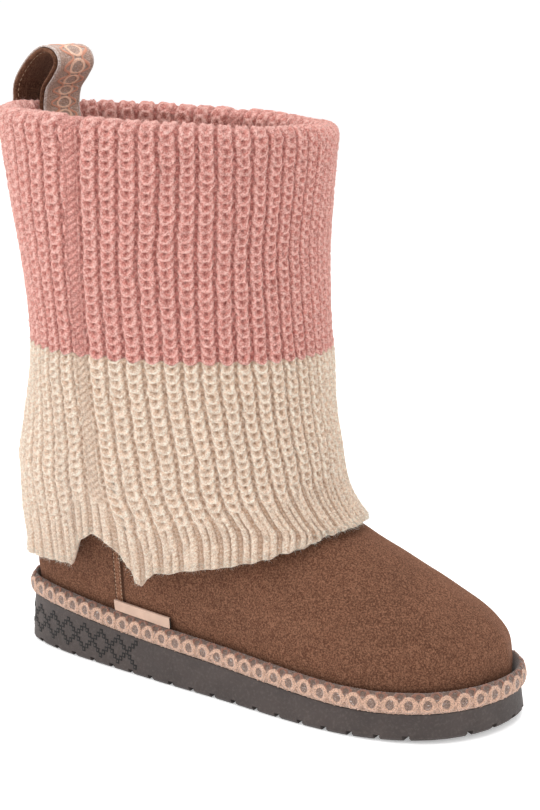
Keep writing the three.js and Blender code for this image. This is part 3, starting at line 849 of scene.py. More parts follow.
class BootKnit(bpy.types.PropertyGroup):
    row_pitch: length("Row pitch", "Height of one row of stitches", 0.0044)
    colour_line: length("Colour line", "Height where the two yarns meet", 0.1665)
    hem_band: length("Hem band", "Height of the fine rib at the lower edge", 0.021)
    # Each yarn's fluff colour is both its palest fibres and the painted highlight on the loops' edges; its
    # shade colour is both its darkest fibres and the painted shade between the ribs.
    upper_yarn: colour("Upper yarn", "Colour of the upper yarn", linear(218, 141, 130))
    upper_pale: colour("Upper fluff", "Palest fibres of the upper yarn", linear(250, 206, 196))
    upper_deep: colour("Upper shade", "Colour deep between the upper ribs", linear(152, 70, 62))
    lower_yarn: colour("Lower yarn", "Colour of the lower yarn", linear(234, 202, 176))
    lower_pale: colour("Lower fluff", "Palest fibres of the lower yarn", linear(253, 242, 228))
    lower_deep: colour("Lower shade", "Colour deep between the lower ribs", linear(176, 132, 102))


class BootSuede(bpy.types.PropertyGroup):
    colour: colour("Suede", "Colour of the suede", linear(94, 61, 45))
    nap: colour("Nap", "Colour of the brushed nap", linear(128, 91, 71))
    lining: colour("Lining", "Colour of the lining", linear(206, 186, 160))
    stitch: colour("Stitching", "Colour of the light stitching", linear(176, 148, 122))


class BootRubber(bpy.types.PropertyGroup):
    colour: colour("Rubber", "Colour of the sole", linear(60, 51, 48))
    scuff_colour: colour("Scuff", "Colour of dust and scuffs on the sole", linear(120, 108, 102))
    lattice_pitch: length("Lattice pitch", "Width of one diamond of the embossed lattice", 0.0117)
    lattice_height: length("Lattice height", "Height of the embossed lattice", 0.0124)


class BootRibbon(bpy.types.PropertyGroup):
    period: length("Pattern", "Length of one motif of the rand's ribbon", 0.0086)
    loop_period: length("Loop pattern", "Length of one motif of the loop's ribbon", 0.0071)
    ground: colour("Ground", "Colour of the woven ground", linear(146, 120, 107))
    thread: colour("Thread", "Colour of the pale threads", linear(222, 180, 156))
    accent: colour("Accent", "Colour of the salmon threads", linear(220, 152, 124))
    silver: colour("Silver", "Colour of the silvery threads", linear(212, 204, 200))


class BootTag(bpy.types.PropertyGroup):
    colour: colour("Tag", "Colour of the bare tag", linear(192, 160, 140))


class BootStudio(bpy.types.PropertyGroup):
    camera_x: length("Camera X", "Camera position along the boot", 0.5426)
    camera_y: length("Camera Y", "Camera position across the boot", -0.7066)
    camera_z: length("Camera Z", "Camera height", 0.3413)
    target_x: length("Target X", "Point that the camera looks at, along the boot", 0.09389)
    target_y: length("Target Y", "Point that the camera looks at, across the boot", 0.01141)
    target_z: length("Target Z", "Point that the camera looks at, height", 0.13463)
    lens: bpy.props.FloatProperty(name="Lens", description="Focal length in millimetres", default=78.82)


# Sole, rand, upper and insole


class BOOT_OT_sole(bpy.types.Operator):
    """Rubber wedge sole with its embossed lattice"""

    bl_idname = "boot.sole"
    bl_label = "Sole"

    def execute(self, context):
        settings = context.scene.boot_rubber
        material = rubber_finish(settings)
        mesh = merged_copy("outsole", "wedge_sole")
        sole = add_piece("wedge_sole", mesh, [material], ["outsole"])
        add_bevel(sole, 0.0004)
        # Wider near-black plates under the squares outline each one: painted shade of the grooves round the
        # squares.
        painted_shade = Finish("Lattice painted shade").done(Base_Color=times(settings.colour, 0.12), Roughness=0.8)
        self.lattice("lattice_shade_plates", settings, painted_shade, 2.25, 0.2)
        self.lattice("lattice_pads", settings, material, 0.95, 0.26)
        return {"FINISHED"}

    def spots(self, settings):
        """Places of the squares, in millimetres along the side and up from its middle."""
        pitch, tall = settings.lattice_pitch / MM, settings.lattice_height / MM
        spots = set()
        for diamond in range(-2, 9):
            for step in range(lattice_steps + 1):
                up = tall / 2 - tall * step / lattice_steps
                for way in (-1, 1):
                    along = diamond * pitch + way * pitch * step / lattice_steps
                    spots.add((round(along, 3), round(up, 3)))
        return sorted(spot for spot in spots if -14 < spot[0] < 94)

    def seats(self, spots):
        """For each spot its place on the sole's side, then the ways along, up and out."""
        turns = np.linspace(-0.25, 0.6, 1200)
        travel = travelled(plan_point(turns))
        travel -= np.interp(0, turns, travel)
        side = opened(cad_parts["outsole"].data)
        surface = BVHTree.FromBMesh(side)
        side.free()
        seats = []
        for along, up in spots:
            turn = float(np.interp(along + 12, travel, turns))
            foot = plan_point(np.array(turn))
            way = plan_point(np.array(turn + turn_step)) - plan_point(np.array(turn - turn_step))
            out = np.array([*unit(way)[::-1], 0]) * [1, -1, 0]
            top = sole_top(foot[0])
            height = top * 0.5 + 1.0 + up
            lean = 1.5 * np.clip((height - 1.6) / (top - 1.6), 0, 1)
            near = np.array([*foot, height]) + out * (1 - lean)
            spot, out, _, _ = surface.find_nearest(in_frame(near))
            out = np.array(out)
            rise = unit(np.array([0, 0, 1]) - out * out[2])
            seats.append((np.array(spot) / MM + [heel_centre, 0, 0], np.cross(rise, out), rise, out))
        return seats

    def lattice(self, name, settings, material, size, high):
        """Small squares in rows that cross as diamonds, from the heel along the outer side."""
        spots = self.spots(settings)
        shape = bmesh.new()
        bmesh.ops.create_cube(shape, size=1)
        shape.normal_update()
        top = [face for face in shape.faces if face.normal.z > 0.5]
        bmesh.ops.bevel(
            shape,
            geom=[edge for face in top for edge in face.edges],
            offset=0.2,
            segments=2,
            profile=0.5,
            affect="EDGES",
            material=-1,
        )
        mesh, number, local = copies_of(name, shape, len(spots))
        centre, way, rise, out = [np.array(column)[number] for column in zip(*self.seats(spots))]
        x, y, z = local.T[:, :, None]
        sunk = 0.3
        points = centre + x * size * way + y * size * 1.15 * rise
        points += ((z + 0.5) * (high + sunk) - sunk) * out
        return add_piece(name, placed(mesh, points), [material])


class BOOT_OT_rand(bpy.types.Operator):
    """Padded rand wrapped in a woven ribbon"""

    bl_idname = "boot.rand"
    bl_label = "Rand"

    def execute(self, context):
        settings = context.scene.boot_ribbon
        period = settings.period / MM
        turns = np.linspace(0, 2, 4001)
        travel = travelled(plan_point(turns))
        motifs = round(travel[-1] / period)
        columns = motifs * rand_columns_each_motif + 1
        way = np.linspace(0, travel[-1], columns)
        turn = np.interp(way, travel, turns)
        section = np.array(RAND_SECTION, float)
        closed = np.concatenate([section[-1:], section, section[:2]])
        dense = []
        for i in range(1, len(closed) - 2):
            steps = 7 if i < 5 else 4 if i < 7 else 2
            dense += [spline(*closed[i - 1 : i + 3], t) for t in np.arange(steps) / steps]
        dense = np.array(dense)
        dense = np.concatenate([dense, dense[:1]])
        size = dense * [rand_thickness, rand_height]
        across = travelled(size)
        across -= np.interp(0.5, size[:18, 1] / rand_height, across[:18])
        count = way / travel[-1] * motifs
        step = (count % 1 - 0.5) * period
        half = ((count + 0.5) % 1 - 0.5) * period
        ring_x, ring_y, _ = RAND_RING
        arch_x, arch_y, arch_middle = RAND_ARCH
        points = np.empty((len(dense), columns, 3))
        for i, (inset, up) in enumerate(dense):
            here = across[i]
            round_way = np.sqrt((step / ring_x) ** 2 + (here / ring_y) ** 2)
            arch = np.sqrt((half / arch_x) ** 2 + ((here - arch_middle) / arch_y) ** 2)
            seen = float(ease((8.0 - here) / 1.5))
            puff = 0.3 * (1 - ease((round_way - 0.5) / 0.5))
            ridge = 0.6 * np.exp(-(((round_way - 1) * ring_x / 0.5) ** 2))
            loop = 0.5 * np.exp(-(((arch - 1) * 2 / 0.55) ** 2)) * float(ease((here - 1.6) / 1.4))
            crossing = 0.45 * np.exp(-(((np.abs(half) * 1.8 - abs(here)) / 0.9) ** 2))
            crossing = crossing * ease((round_way - 1) / 0.2) * float(1 - ease((here - 2.0) / 1.2))
            loop = np.maximum(loop, crossing) + 0.3 * noise_field(way, here + 0 * way, 41)
            lift = (np.maximum(puff, np.maximum(ridge, loop)) - 0.2) * seen
            rise = float(ease((up - 0.6) / 0.35))
            flat = plan_inset(turn, inset * rand_thickness - lift * (1 - 0.6 * rise))
            height = sole_top(flat[:, 0]) + gap + up * rand_height + lift * rise * 0.8
            points[i] = np.column_stack([flat, height])
        points[:, -1] = points[:, 0]
        maps = np.empty((len(dense), columns, 2))
        maps[..., 0] = count * period
        maps[..., 1] = across[:, None]
        material = ribbon_finish("Rand ribbon", settings, period, RAND_RING)
        mesh = laid_grid("ribbon_rand", points, maps)
        piece = add_piece("ribbon_rand", mesh, [material], ["rand"])
        return {"FINISHED"}


class BOOT_OT_upper(bpy.types.Operator):
    """Suede-look foot and shaft with raised side seams and a lining"""

    bl_idname = "boot.upper"
    bl_label = "Upper"

    def execute(self, context):
        settings = context.scene.boot_suede
        rear = -np.cos(np.pi / 2 * np.linspace(0, 0.97, 46))
        columns = upper_columns_each_side
        seam = np.linspace(-1.6, 1.6, 15) * strip_width
        heights = np.concatenate(
            [
                np.linspace(sole_at_seam, instep_height, 74),
                np.linspace(instep_height, collar_height, 40)[1:],
            ]
        )
        rows = []
        for height in heights:
            back, front_end, _, _ = upper_at(height)
            near = np.where(seam < 0, seam / (side_seam - back), seam / (front_end - side_seam))
            behind = rear[rear < near[0] - 0.005]
            ahead = np.linspace(near[-1], 1, columns - len(behind) - len(near) + 2)[1:-1]
            half = np.concatenate([behind, near, ahead])
            half[-1] = 1
            rows.append(half)
        share = np.array(rows)
        share = np.concatenate([share, share[:, -2::-1]], 1)
        side = np.where(np.arange(share.shape[1]) < columns, -1, 1)[None, :] * np.ones_like(share)
        height = heights[:, None] * np.ones_like(share)
        outer = upper_point(height, share, side)
        outer[:, -1] = outer[:, 0]
        normal = normals_of(outer)
        inner = outer - normal * upper_wall
        inner[[0, -1], :, 2] = outer[[0, -1], :, 2]
        offset = np.abs(outer[..., 0] - side_seam) / strip_width
        clear = ease((height - sole_at_seam - rand_height) / 2)
        strip = strip_rise * clear * (1 - ease((offset - 0.36) / 0.16))
        groove = 0.35 * clear * np.exp(-(((offset - 0.62) / 0.1) ** 2))
        pipe = 0.25 * clear * np.exp(-((offset / 0.14) ** 2))
        soft = 0.25 * noise_field(outer[..., 0] / 30, outer[..., 2] / 30 + side, 4)
        soft *= ease((height - sole_at_seam - rand_height) / 12)
        lift = strip - groove - pipe + soft
        for middle_x, middle_z, long, wide, deep, lean in VAMP_CREASES:
            lean = math.radians(lean)
            dx, dz = outer[..., 0] - middle_x, outer[..., 2] - middle_z
            along = dx * math.cos(lean) + dz * math.sin(lean)
            across = dz * math.cos(lean) - dx * math.sin(lean)
            across = across + 0.004 * along**2
            lift -= deep * np.exp(-((along / long * 2) ** 2) - (across / wide * 2) ** 2)
        outer = outer + normal * lift[..., None]
        inside = inner[::-1][::3]
        points = np.concatenate([outer, inside, inner[:1], outer[:1]])
        maps = points[..., [0, 2]] / 100
        maps[len(outer) :, :, 1] += 10
        mesh = laid_grid("suede_upper", points, maps)
        suede = suede_finish("Suede", settings.colour, settings.nap, piped_with_shade=True)
        lining = pile_finish("Lining", settings.lining)
        piece = add_piece("suede_upper", mesh, [suede, lining], ["upper"])
        self.line_inside(piece.data)
        self.stitch(context)
        return {"FINISHED"}

    def line_inside(self, mesh):
        """Gives the lining to the faces that the map sets apart as the inner wall."""
        maps = np.empty(len(mesh.loops) * 2)
        mesh.uv_layers[0].data.foreach_get("uv", maps)
        first = np.empty(len(mesh.polygons), int)
        mesh.polygons.foreach_get("loop_start", first)
        lowest = np.minimum.reduceat(maps[1::2], first)
        mesh.polygons.foreach_set("material_index", (lowest > 5).astype(int))

    def stitch(self, context):
        """Short light stitches down both edges of each side seam."""
        spots = []
        for side in (-1, 1):
            for height in np.arange(sole_at_seam + rand_height + 1.5, 84, 2.1):
                for offset in (-0.62, 0.62):
                    spots.append((side, height, offset * strip_width / 2 * 1.05))
        add_stitches("seam_stitches", spots, context.scene.boot_suede.stitch)


def add_stitches(name, spots, tint):
    """Small rounded stitches that lie on the upper's side."""

    def on_side(height, share, side):
        return upper_point(np.array(height), np.array(share), np.array(side))

    mesh, number, local = copies_of(name, bead(), len(spots))
    frames = []
    for side, height, offset in spots:
        back, front, _, _ = upper_at(height)
        share = offset / (side_seam - back if offset < 0 else front - side_seam)
        spot = on_side(height, share, side)
        up = unit(on_side(height + 1.0, share, side) - spot)
        along = unit(on_side(height, share + 0.01, side) - spot)
        out = np.cross(along, up) * (1 if side < 0 else -1)
        frames.append((spot + out * (strip_rise + 0.05), along, out, up))
    centre, along, out, up = [np.array(column)[number] for column in zip(*frames)]
    x, y, z = local.T[:, :, None]
    points = centre + x * 0.5 * along + y * 0.4 * out + z * 1.3 * up
    return add_piece(name, placed(mesh, points), [thread_finish(name + " thread", tint)])


class BOOT_OT_insole(bpy.types.Operator):
    """Footbed with a short pile"""

    bl_idname = "boot.insole"
    bl_label = "Insole"

    def execute(self, context):
        mesh = merged_copy("insole", "footbed")
        pile = pile_finish("Footbed pile", context.scene.boot_suede.lining)
        piece = add_piece("footbed", mesh, [pile], ["insole"])
        add_bevel(piece, 0.0006)
        return {"FINISHED"}


# Knit


def stitches(rib, row):
    """The knit's face, from 0 deep between ribs to 1 on the yarn, and where loops' edges catch light, which
    the yarn's finish paints as a highlight.

    Each rib is a column of U-shaped loops of yarn whose legs dive under the loop above.
    """
    across = np.abs((rib + 0.5) % 1 - 0.5) * 8.6
    face = 0.5 * (1 - ease((across - 1.5) / 1.2))
    highlight = np.zeros(face.shape)
    for cell in (-1, 0, 1):
        down = (row % 1 - cell) * 4.1
        below = np.maximum(down, 0)
        wide = 2.15 - 0.7 * ease(-down / 3.2)
        slope = np.sqrt((across / wide**2) ** 2 + (below / 2.9**2) ** 2)
        distance = ((across / wide) ** 2 + (below / 2.9) ** 2 - 1) / (2 * np.maximum(slope, 0.2))
        body = np.sqrt(np.maximum(0, 1 - (distance / 1.08) ** 2))
        lift = ease((down + 3.2) / 3.4) * (1 - ease((down - 4.1) / 0.6))
        loop = (0.2 + 0.8 * lift) * (0.25 + 0.75 * body) * (body > 0)
        edge = np.exp(-(((distance - 0.55) / 0.4) ** 2)) * ease((down + 0.6) / 1.4) * lift
        highlight = np.where(loop > face, edge, highlight)
        face = np.maximum(face, loop)
        dot = 0.45 * np.exp(-((across / 0.75) ** 2) - ((down - 0.5) / 0.8) ** 2)
        face = face - dot * (face > 0.2)
    ladder = 0.42 * (0.5 + 0.5 * np.cos(2 * np.pi * (row + across * 0.12))) * ease((across - 2.9) / 0.6)
    return face + ladder, highlight


class BOOT_OT_sleeve(bpy.types.Operator):
    """Thick ribbed knit in two yarns, folded over at the collar"""

    bl_idname = "boot.sleeve"
    bl_label = "Knit sleeve"

    relief = 2.4
    ACROSS = (-0.5, -0.43, -0.38, -0.32, -0.25, -0.16, -0.06, 0.06, 0.16, 0.25, 0.32, 0.38, 0.43)

    def execute(self, context):
        settings = context.scene.boot_knit
        line = settings.colour_line / MM
        self.row_pitch = settings.row_pitch / MM
        self.band = settings.hem_band / MM
        rib = (np.arange(ribs)[:, None] + np.array(self.ACROSS)[None, :]).ravel()
        self.rib = np.append(rib, ribs - 0.5)
        pink = knit_finish("Upper yarn", settings.upper_yarn, settings.upper_pale, settings.upper_deep)
        cream = knit_finish("Lower yarn", settings.lower_yarn, settings.lower_pale, settings.lower_deep)
        upper_face = self.upper_part(line, pink)
        lower_face = self.lower_part(line, cream)
        pink_hair = fluff_finish("Upper fluff", settings.upper_pale)
        cream_hair = fluff_finish("Lower fluff", settings.lower_pale)
        for part in range(2):
            self.fluff(f"fluff_upper_{part + 1}", upper_face, pink_hair, 3 + part)
            self.fluff(f"fluff_lower_{part + 1}", lower_face, cream_hair, 7 + part, hem=True)
        return {"FINISHED"}

    def shares(self, height):
        """Share of the way from the seam for each rib: fanned by the slit, drawn forward at the collar."""
        share, side = rib_share(self.rib[None, :] + 0 * height)
        fan = 0.32 * ease((112 - height) / 60) * np.exp(-((share / 0.17) ** 2))
        share = share * (1 + fan)
        return share + 0.075 * ease((height - 150) / 120) * (1 - share**2), side

    def knitted(self, base, row, band_height):
        """Adds the stitches' height to a base surface at the ribs' crests."""
        normal = normals_of(base)
        sway = 0.045 * noise_field(row / 9, self.rib[None, :] / 5, 7)
        rib = self.rib[None, :] + sway + 0 * row
        drift = 0.2 * noise_field(self.rib[None, :] * 0.55, row / 7, 11)
        jitter = 0.035 * noise_field(row * 1.1, self.rib[None, :] * 1.4, 19)
        face, highlight = stitches(rib + jitter, row + drift + 1.6 * jitter)
        fine, fine_highlight = self.fine_rib(rib + 0.3 * jitter, row * 1.9 + drift)
        plain = ease((band_height - self.band + 3) / 6)
        face = mix(fine, face, plain)
        highlight = mix(fine_highlight, highlight, plain)
        for middle in (rear_quarter / 2, ribs - rear_quarter / 2):
            near = (self.rib[None, :] - middle) + 0 * row
            inside = (1 - ease((np.abs(near) - 0.26) / 0.12)) * plain
            loose = 0.5 * noise_field(row / 1.7, near * 2, 29)
            strands = 0.5 + 0.5 * np.sin(2 * np.pi * (row * 1.35 + near * 2.4) + loose)
            seam = 0.2 + 0.5 * strands * (1 - ease((np.abs(near) - 0.12) / 0.2))
            face = mix(face, seam, inside)
            highlight = mix(highlight, 0.15 * strands, inside)
        rough = np.random.default_rng(31).normal(0, 0.11, face.shape) * (0.45 + 0.55 * plain)
        rough[:, -1] = rough[:, 0]
        rough = rough + 0.12 * noise_field(row / 3, self.rib[None, :] / 2, 13)
        lift = (face - 0.86) * self.relief + rough
        lumps = 0.45 * noise_field(row / 16, self.rib[None, :] / 7, 17)
        return base + normal * (lift + lumps)[..., None], face, highlight, normal

    def fine_rib(self, rib, row):
        """The lower edge's face: two fine columns for each rib, with laddered grooves between ribs."""
        across = np.abs((rib + 0.5) % 1 - 0.5)
        column = np.sqrt(np.maximum(0, 1 - ((across - 0.2) / 0.165) ** 2))
        chevron = 0.5 + 0.5 * np.cos(2 * np.pi * (row + across * 3.0))
        ladder = (0.5 + 0.5 * np.cos(2 * np.pi * row)) * ease((across - 0.39) / 0.06)
        face = 0.1 + column * (0.52 + 0.36 * chevron) + 0.34 * ladder
        # The second value is where the chevrons catch light, painted as a highlight.
        return face, 0.6 * chevron * column

    def closed(self, name, front, signals, back, material, nodes):
        points = np.concatenate([front, back, front[:1]])
        points[:, -1] = points[:, 0]
        maps = np.zeros((*points.shape[:2], 2))
        for axis, signal in enumerate(signals):
            maps[: len(front), :, axis] = signal
            maps[-1, :, axis] = signal[0]
        maps[len(front) : -1, :, 1] = 0.5
        return add_piece(name, laid_grid(name, points, maps), [material], nodes)

    def facing(self, height, inset):
        """A ring of the fold's facing, some way inside the shaft's outer face."""
        share, side = self.shares(np.full((1, len(self.rib)), float(rim_foot)))
        x, y = section_point(upper_at(height), share[0], side[0])
        ring = np.stack([x, y, height + collar_lift(x, y, height)], -1)
        ring[-1] = ring[0]
        level = np.stack([ring, ring + [0, 0, 1]])
        return ring - normals_of(level)[0] * inset

    def change(self, line):
        """Height where the yarn changes: each rib's loops reach a little lower than their neighbours."""
        return line - 0.9 * np.cos(2 * np.pi * self.rib)

    def wall_between(self, low, high, shares):
        level = low + (high - low) * np.asarray(shares)[:, None]
        share, side = self.shares(level)
        wall = sleeve_point(level, share, side)
        wall[:, -1] = wall[:, 0]
        return wall, level

    def upper_part(self, line, material):
        edge = self.change(line)
        wall, level = self.wall_between(edge, rim_foot + 0 * edge, np.linspace(0, 1, 106))
        slot = upper_wall + facing_ease
        fold_top = self.facing(rim_foot, slot + facing_wall)
        turns = np.radians(np.linspace(0, 180, 16))[1:-1]
        roll = np.stack(
            [
                wall[-1] + (fold_top - wall[-1]) * (1 - math.cos(t)) / 2 + [0, 0, rim_rise * math.sin(t)]
                for t in turns
            ]
        )
        depths = np.linspace(0, facing_depth, 22)
        fold = np.stack([self.facing(rim_foot - depth, slot + facing_wall) for depth in depths])
        base = np.concatenate([wall, roll, fold])
        beyond = np.concatenate([np.linspace(0, 15, len(turns) + 2)[1:-1], 15 + depths])
        travel = np.concatenate([rim_foot - level, -beyond[:, None] + 0 * level[: len(beyond)]])
        far = np.full_like(travel, 99.0)
        points, face, highlight, normal = self.knitted(base, travel / self.row_pitch, far)
        fold_back = np.stack([self.facing(rim_foot - depth, slot) for depth in (facing_depth, 0)])
        inner, _ = self.wall_between(rim_foot + 0 * edge, edge, [0, 0.58, 1])
        inner = inner - normals_of(inner[::-1])[::-1] * knit_wall
        back = np.concatenate([fold_back, inner])
        self.closed("knit_upper", points, (highlight, face), back, material, ["sleeve"])
        return points, normal

    def lower_part(self, line, material):
        count = 116
        share, side = self.shares(np.full_like(self.rib, hem_side)[None, :])
        hem = hem_height(share, sleeve_point(np.full_like(share, hem_side), share, side)[..., 0])[0]
        hem = hem - 0.4 * np.cos(2 * np.pi * self.rib) + 0.35 * noise_field(self.rib, 0 * self.rib, 23)
        hem[-1] = hem[0]
        steps = np.linspace(0, 1, count)
        wall, level = self.wall_between(hem, self.change(line), steps)
        row = (rim_foot - level) / self.row_pitch
        points, face, highlight, normal = self.knitted(wall, row, level - hem)
        thickness = mix(hem_wall, knit_wall, ease(steps / 0.1))[:, None, None]
        inner = wall - normal * thickness
        inner[[0, -1], :, 2] = wall[[0, -1], :, 2]
        lowest = inner[0] * 0.5 + wall[0] * 0.5 - [0, 0, 0.7]
        picks = [count - 1, 90, 64, 40, 24, 12, 5, 1, 0]
        back = np.concatenate([inner[picks], [lowest]])
        self.closed("knit_lower", points, (highlight, face), back, material, ["sleeve"])
        return points, normal

    def fluff(self, name, surface, material, seed, hem=False):
        """Fine loose fibres that stand off the knit."""
        points, normal = surface
        count = hairs_each_piece
        dice = np.random.default_rng(seed)
        shape = bmesh.new()
        bmesh.ops.create_cone(shape, segments=3, radius1=1, radius2=0, depth=1, cap_ends=True)
        long = [edge for edge in shape.edges if abs(edge.verts[0].co.z - edge.verts[1].co.z) > 0.5]
        bmesh.ops.subdivide_edges(shape, edges=long, cuts=1, use_grid_fill=False)
        mesh, number, local = copies_of(name, shape, count)
        row = dice.integers(0, points.shape[0], count)
        if hem:
            row = np.where(dice.uniform(0, 1, count) < 0.3, dice.integers(0, 4, count), row)
        column = dice.integers(0, points.shape[1] - 1, count)
        root, out = points[row, column], normal[row, column]
        lean = dice.normal(0, 1, (count, 3))
        lean -= out * np.sum(lean * out, 1, keepdims=True)
        lean = unit(lean)
        size = dice.uniform(1.0, 3.4, count)[:, None]
        stand = dice.uniform(0.2, 0.85, count)[:, None]
        start = unit(out * stand + lean * (1 - stand))
        bend = np.cross(start, dice.normal(0, 1, (count, 3))) * 0.8 - [0, 0, 0.25]
        across = unit(np.cross(start, [0.3, 0.4, 0.86]))
        other = np.cross(start, across)
        root = root - out * 0.25
        t = local[:, 2:3] + 0.5
        where = root[number] + size[number] * (start[number] * t + 0.5 * bend[number] * t**2)
        thin = 0.075 * (local[:, 0:1] * across[number] + local[:, 1:2] * other[number])
        add_piece(name, placed(mesh, where + thin), [material])


# Pull loop and tag


def loop_path():
    """The strap's middle line, from the outer leg's foot over the top to the inner leg's."""
    rim_thickness = sleeve_stand + upper_wall + facing_ease + facing_wall
    middle = rim_thickness / 2
    spread = middle + gap + loop_strap / 2

    def rim_back(height):
        return float(sleeve_at(np.array(float(height)))[0])

    def column(height):
        return height + float(collar_lift(rim_back(height), loop_offset, height))

    inside = upper_wall + facing_ease + facing_wall
    facing_half = float(upper_at(np.array(float(collar_height)))[2]) - inside
    facing_reach = side_seam - collar_back - inside

    def recess(y):
        return facing_reach * (1 - oval(y / facing_half))

    slope = facing_reach / facing_half * loop_offset / facing_half / oval(loop_offset / facing_half)
    bow = gap + recess(loop_offset + loop_width / 2) - recess(loop_offset) - slope * loop_width / 2
    top = column(rim_foot) + rim_rise
    origin = rim_back(rim_foot) + middle
    reach = spread + loop_slack
    over = [(origin + out * reach, top + up * (loop_height - loop_strap / 2)) for out, up in LOOP_PATH]

    def leg(side, bowed):
        made = []
        for share in (0, 0.5, 1):
            height = rim_foot - share * loop_tail
            away = spread + max(bowed, loop_slack * (1 - share))
            made.append((rim_back(height) + middle + side * away, column(height)))
        return made

    points = np.array([*leg(-1, 0)[::-1], *over, *leg(1, bow)], float)
    padded = np.concatenate([2 * points[:1] - points[1:2], points, 2 * points[-1:] - points[-2:-1]])
    fine = []
    for i in range(len(points) - 1):
        a, b, c, d = padded[i : i + 4]
        if i == 0:
            a = b
        if i == len(points) - 2:
            d = c
        fine += [spline(a, b, c, d, t) for t in np.arange(40) / 40]
    fine.append(points[-1])
    fine = np.array(fine)
    return fine, travelled(fine), rim_back(rim_foot)


def loop_turn(points, back):
    """Turns and moves the strap's own frame to its place on the rim."""
    half = float(sleeve_at(np.array(float(rim_foot)))[2])
    reach = side_seam - back
    recess = reach * (1 - oval(loop_offset / half))
    slope = reach / half * loop_offset / half / oval(loop_offset / half)
    angle = -math.atan(slope)
    x, y = points[..., 0] - back, points[..., 1]
    turned = points.copy()
    turned[..., 0] = back + recess + x * math.cos(angle) - y * math.sin(angle)
    turned[..., 1] = loop_offset + x * math.sin(angle) + y * math.cos(angle)
    return turned


def band_piece(name, material, node, low, high, width, steps, relief=None):
    """A flat band that follows the loop's path between two distances to its outer side."""
    fine, travel, back = loop_path()
    at = np.linspace(0, travel[-1], steps)
    path = np.stack([np.interp(at, travel, fine[:, k]) for k in (0, 1)], 1)
    way = unit(np.gradient(path, axis=0))
    out = np.stack([-way[:, 1], way[:, 0]], 1)
    edge = 0.35 * (high - low)
    half = width / 2
    outline = [(-half, low + edge), (-half, high - edge), (-half + edge, high)]
    outline += [(x, high) for x in np.linspace(-half + edge, half - edge, 33)[1:-1]]
    outline += [(half - edge, high), (half, high - edge), (half, low + edge), (half - edge, low)]
    outline += [(x, low) for x in np.linspace(half - edge, -half + edge, 9)[1:-1]]
    outline += [(-half + edge, low), (-half, low + edge)]
    outline = np.array(outline)
    lift = outline[None, :, 1] + np.zeros((steps, 1))
    if relief is not None:
        top = (np.abs(outline[:, 1] - high) < 1e-6)[None, :]
        lift = lift + np.where(top, relief(at[:, None], outline[None, :, 0]), 0)
    x = path[:, None, 0] + out[:, None, 0] * lift
    z = path[:, None, 1] + out[:, None, 1] * lift
    y = np.broadcast_to(outline[None, :, 0], x.shape)
    points = loop_turn(np.stack([x, y, z], -1), back)
    maps = np.stack([at[:, None] + 0 * y, y], -1)
    mesh = laid_grid(name, points, maps)
    shape = opened(mesh)
    holes = [edge for edge in shape.edges if edge.is_boundary]
    bmesh.ops.holes_fill(shape, edges=holes, sides=0)
    bmesh.ops.recalc_face_normals(shape, faces=shape.faces)
    return add_piece(name, written(shape, mesh), [material], [node])


class BOOT_OT_loop(bpy.types.Operator):
    """Pull loop of suede strap, woven ribbon and edge stitching"""

    bl_idname = "boot.loop"
    bl_label = "Pull loop"

    def execute(self, context):
        suede = context.scene.boot_suede
        ribbon = context.scene.boot_ribbon
        # The strap's suede is painted 0.85 as bright as the foot's: painted shade.
        strap = suede_finish("Strap suede", suede.colour, suede.nap, 0.85)
        side = loop_strap / 2
        band_piece("loop_strap", strap, "pull_loop", -side, side, loop_width, 130)
        period = ribbon.loop_period / MM

        def relief(along, across):
            step = ((along / period) % 1 - 0.5) * period
            ring_x, ring_y, middle = LOOP_RING
            wave_middle, swing = LOOP_WAVE
            ring = np.sqrt((step / ring_x) ** 2 + ((across - middle) / ring_y) ** 2)
            turn = 2 * np.pi * along / period
            steep = np.sqrt(1 + (np.sin(turn) * swing * 2 * np.pi / period) ** 2)
            wave = (np.abs(across - middle) - wave_middle + swing * np.cos(turn)) / steep
            ridge = np.exp(-(((ring - 1) * ring_x / 0.5) ** 2))
            return 0.35 * np.maximum(ridge, np.exp(-((wave / 0.5) ** 2)))

        woven = ribbon_finish("Loop ribbon", ribbon, period, LOOP_RING, LOOP_WAVE)
        low = side + gap
        high = low + ribbon_thickness
        band_piece("loop_band", woven, "loop_ribbon", low, high, ribbon_width, 260, relief)
        self.stitch(suede.stitch)
        return {"FINISHED"}

    def stitch(self, tint):
        """Light topstitches near both edges of the strap's inner face."""
        fine, travel, back = loop_path()
        at = np.arange(30, travel[-1] - 30, 2.9)
        mesh, number, local = copies_of("loop_stitches", bead(), len(at) * 2)
        here = np.stack([np.interp(at, travel, fine[:, k]) for k in (0, 1)], 1)
        ahead = np.stack([np.interp(at + 0.5, travel, fine[:, k]) for k in (0, 1)], 1)
        way = unit(ahead - here)
        out = np.stack([-way[:, 1], way[:, 0]], 1)
        middle = here - out * (loop_strap / 2 + 0.05)
        spot = number // 2
        place = middle[spot] + local[:, 0:1] * 2.0 * way[spot] + local[:, 2:3] * 0.4 * out[spot]
        side = np.where(number % 2, 1, -1) * (loop_width / 2 - 2.2) + local[:, 1] * 0.5
        turned = loop_turn(np.stack([place[:, 0], side, place[:, 1]], -1), back)
        add_piece("loop_stitches", placed(mesh, turned), [thread_finish("Loop thread", tint)])


class BOOT_OT_tag(bpy.types.Operator):
    """Bare folded tag at the side seam"""

    bl_idname = "boot.tag"
    bl_label = "Tag"

    def execute(self, context):
        settings = context.scene.boot_tag
        # The tag's front end face is painted near black: painted shade inside the fold's open end.
        painted_shade = Finish("Tag end shade").done(Base_Color=times(settings.colour, 0.03), Roughness=1.0)
        mesh = merged_copy("label", "folded_tag")
        front = max(vertex.co.x for vertex in mesh.vertices)
        piece = add_piece("folded_tag", mesh, [tag_finish(settings), painted_shade], ["label"])
        # Forward-facing faces at the front end get the painted shade.
        for face in mesh.polygons:
            face.material_index = int(face.normal.x > 0.7 and face.center.x > front - 0.003)
        add_bevel(piece, 0.0004, 3)
        return {"FINISHED"}


# Studio


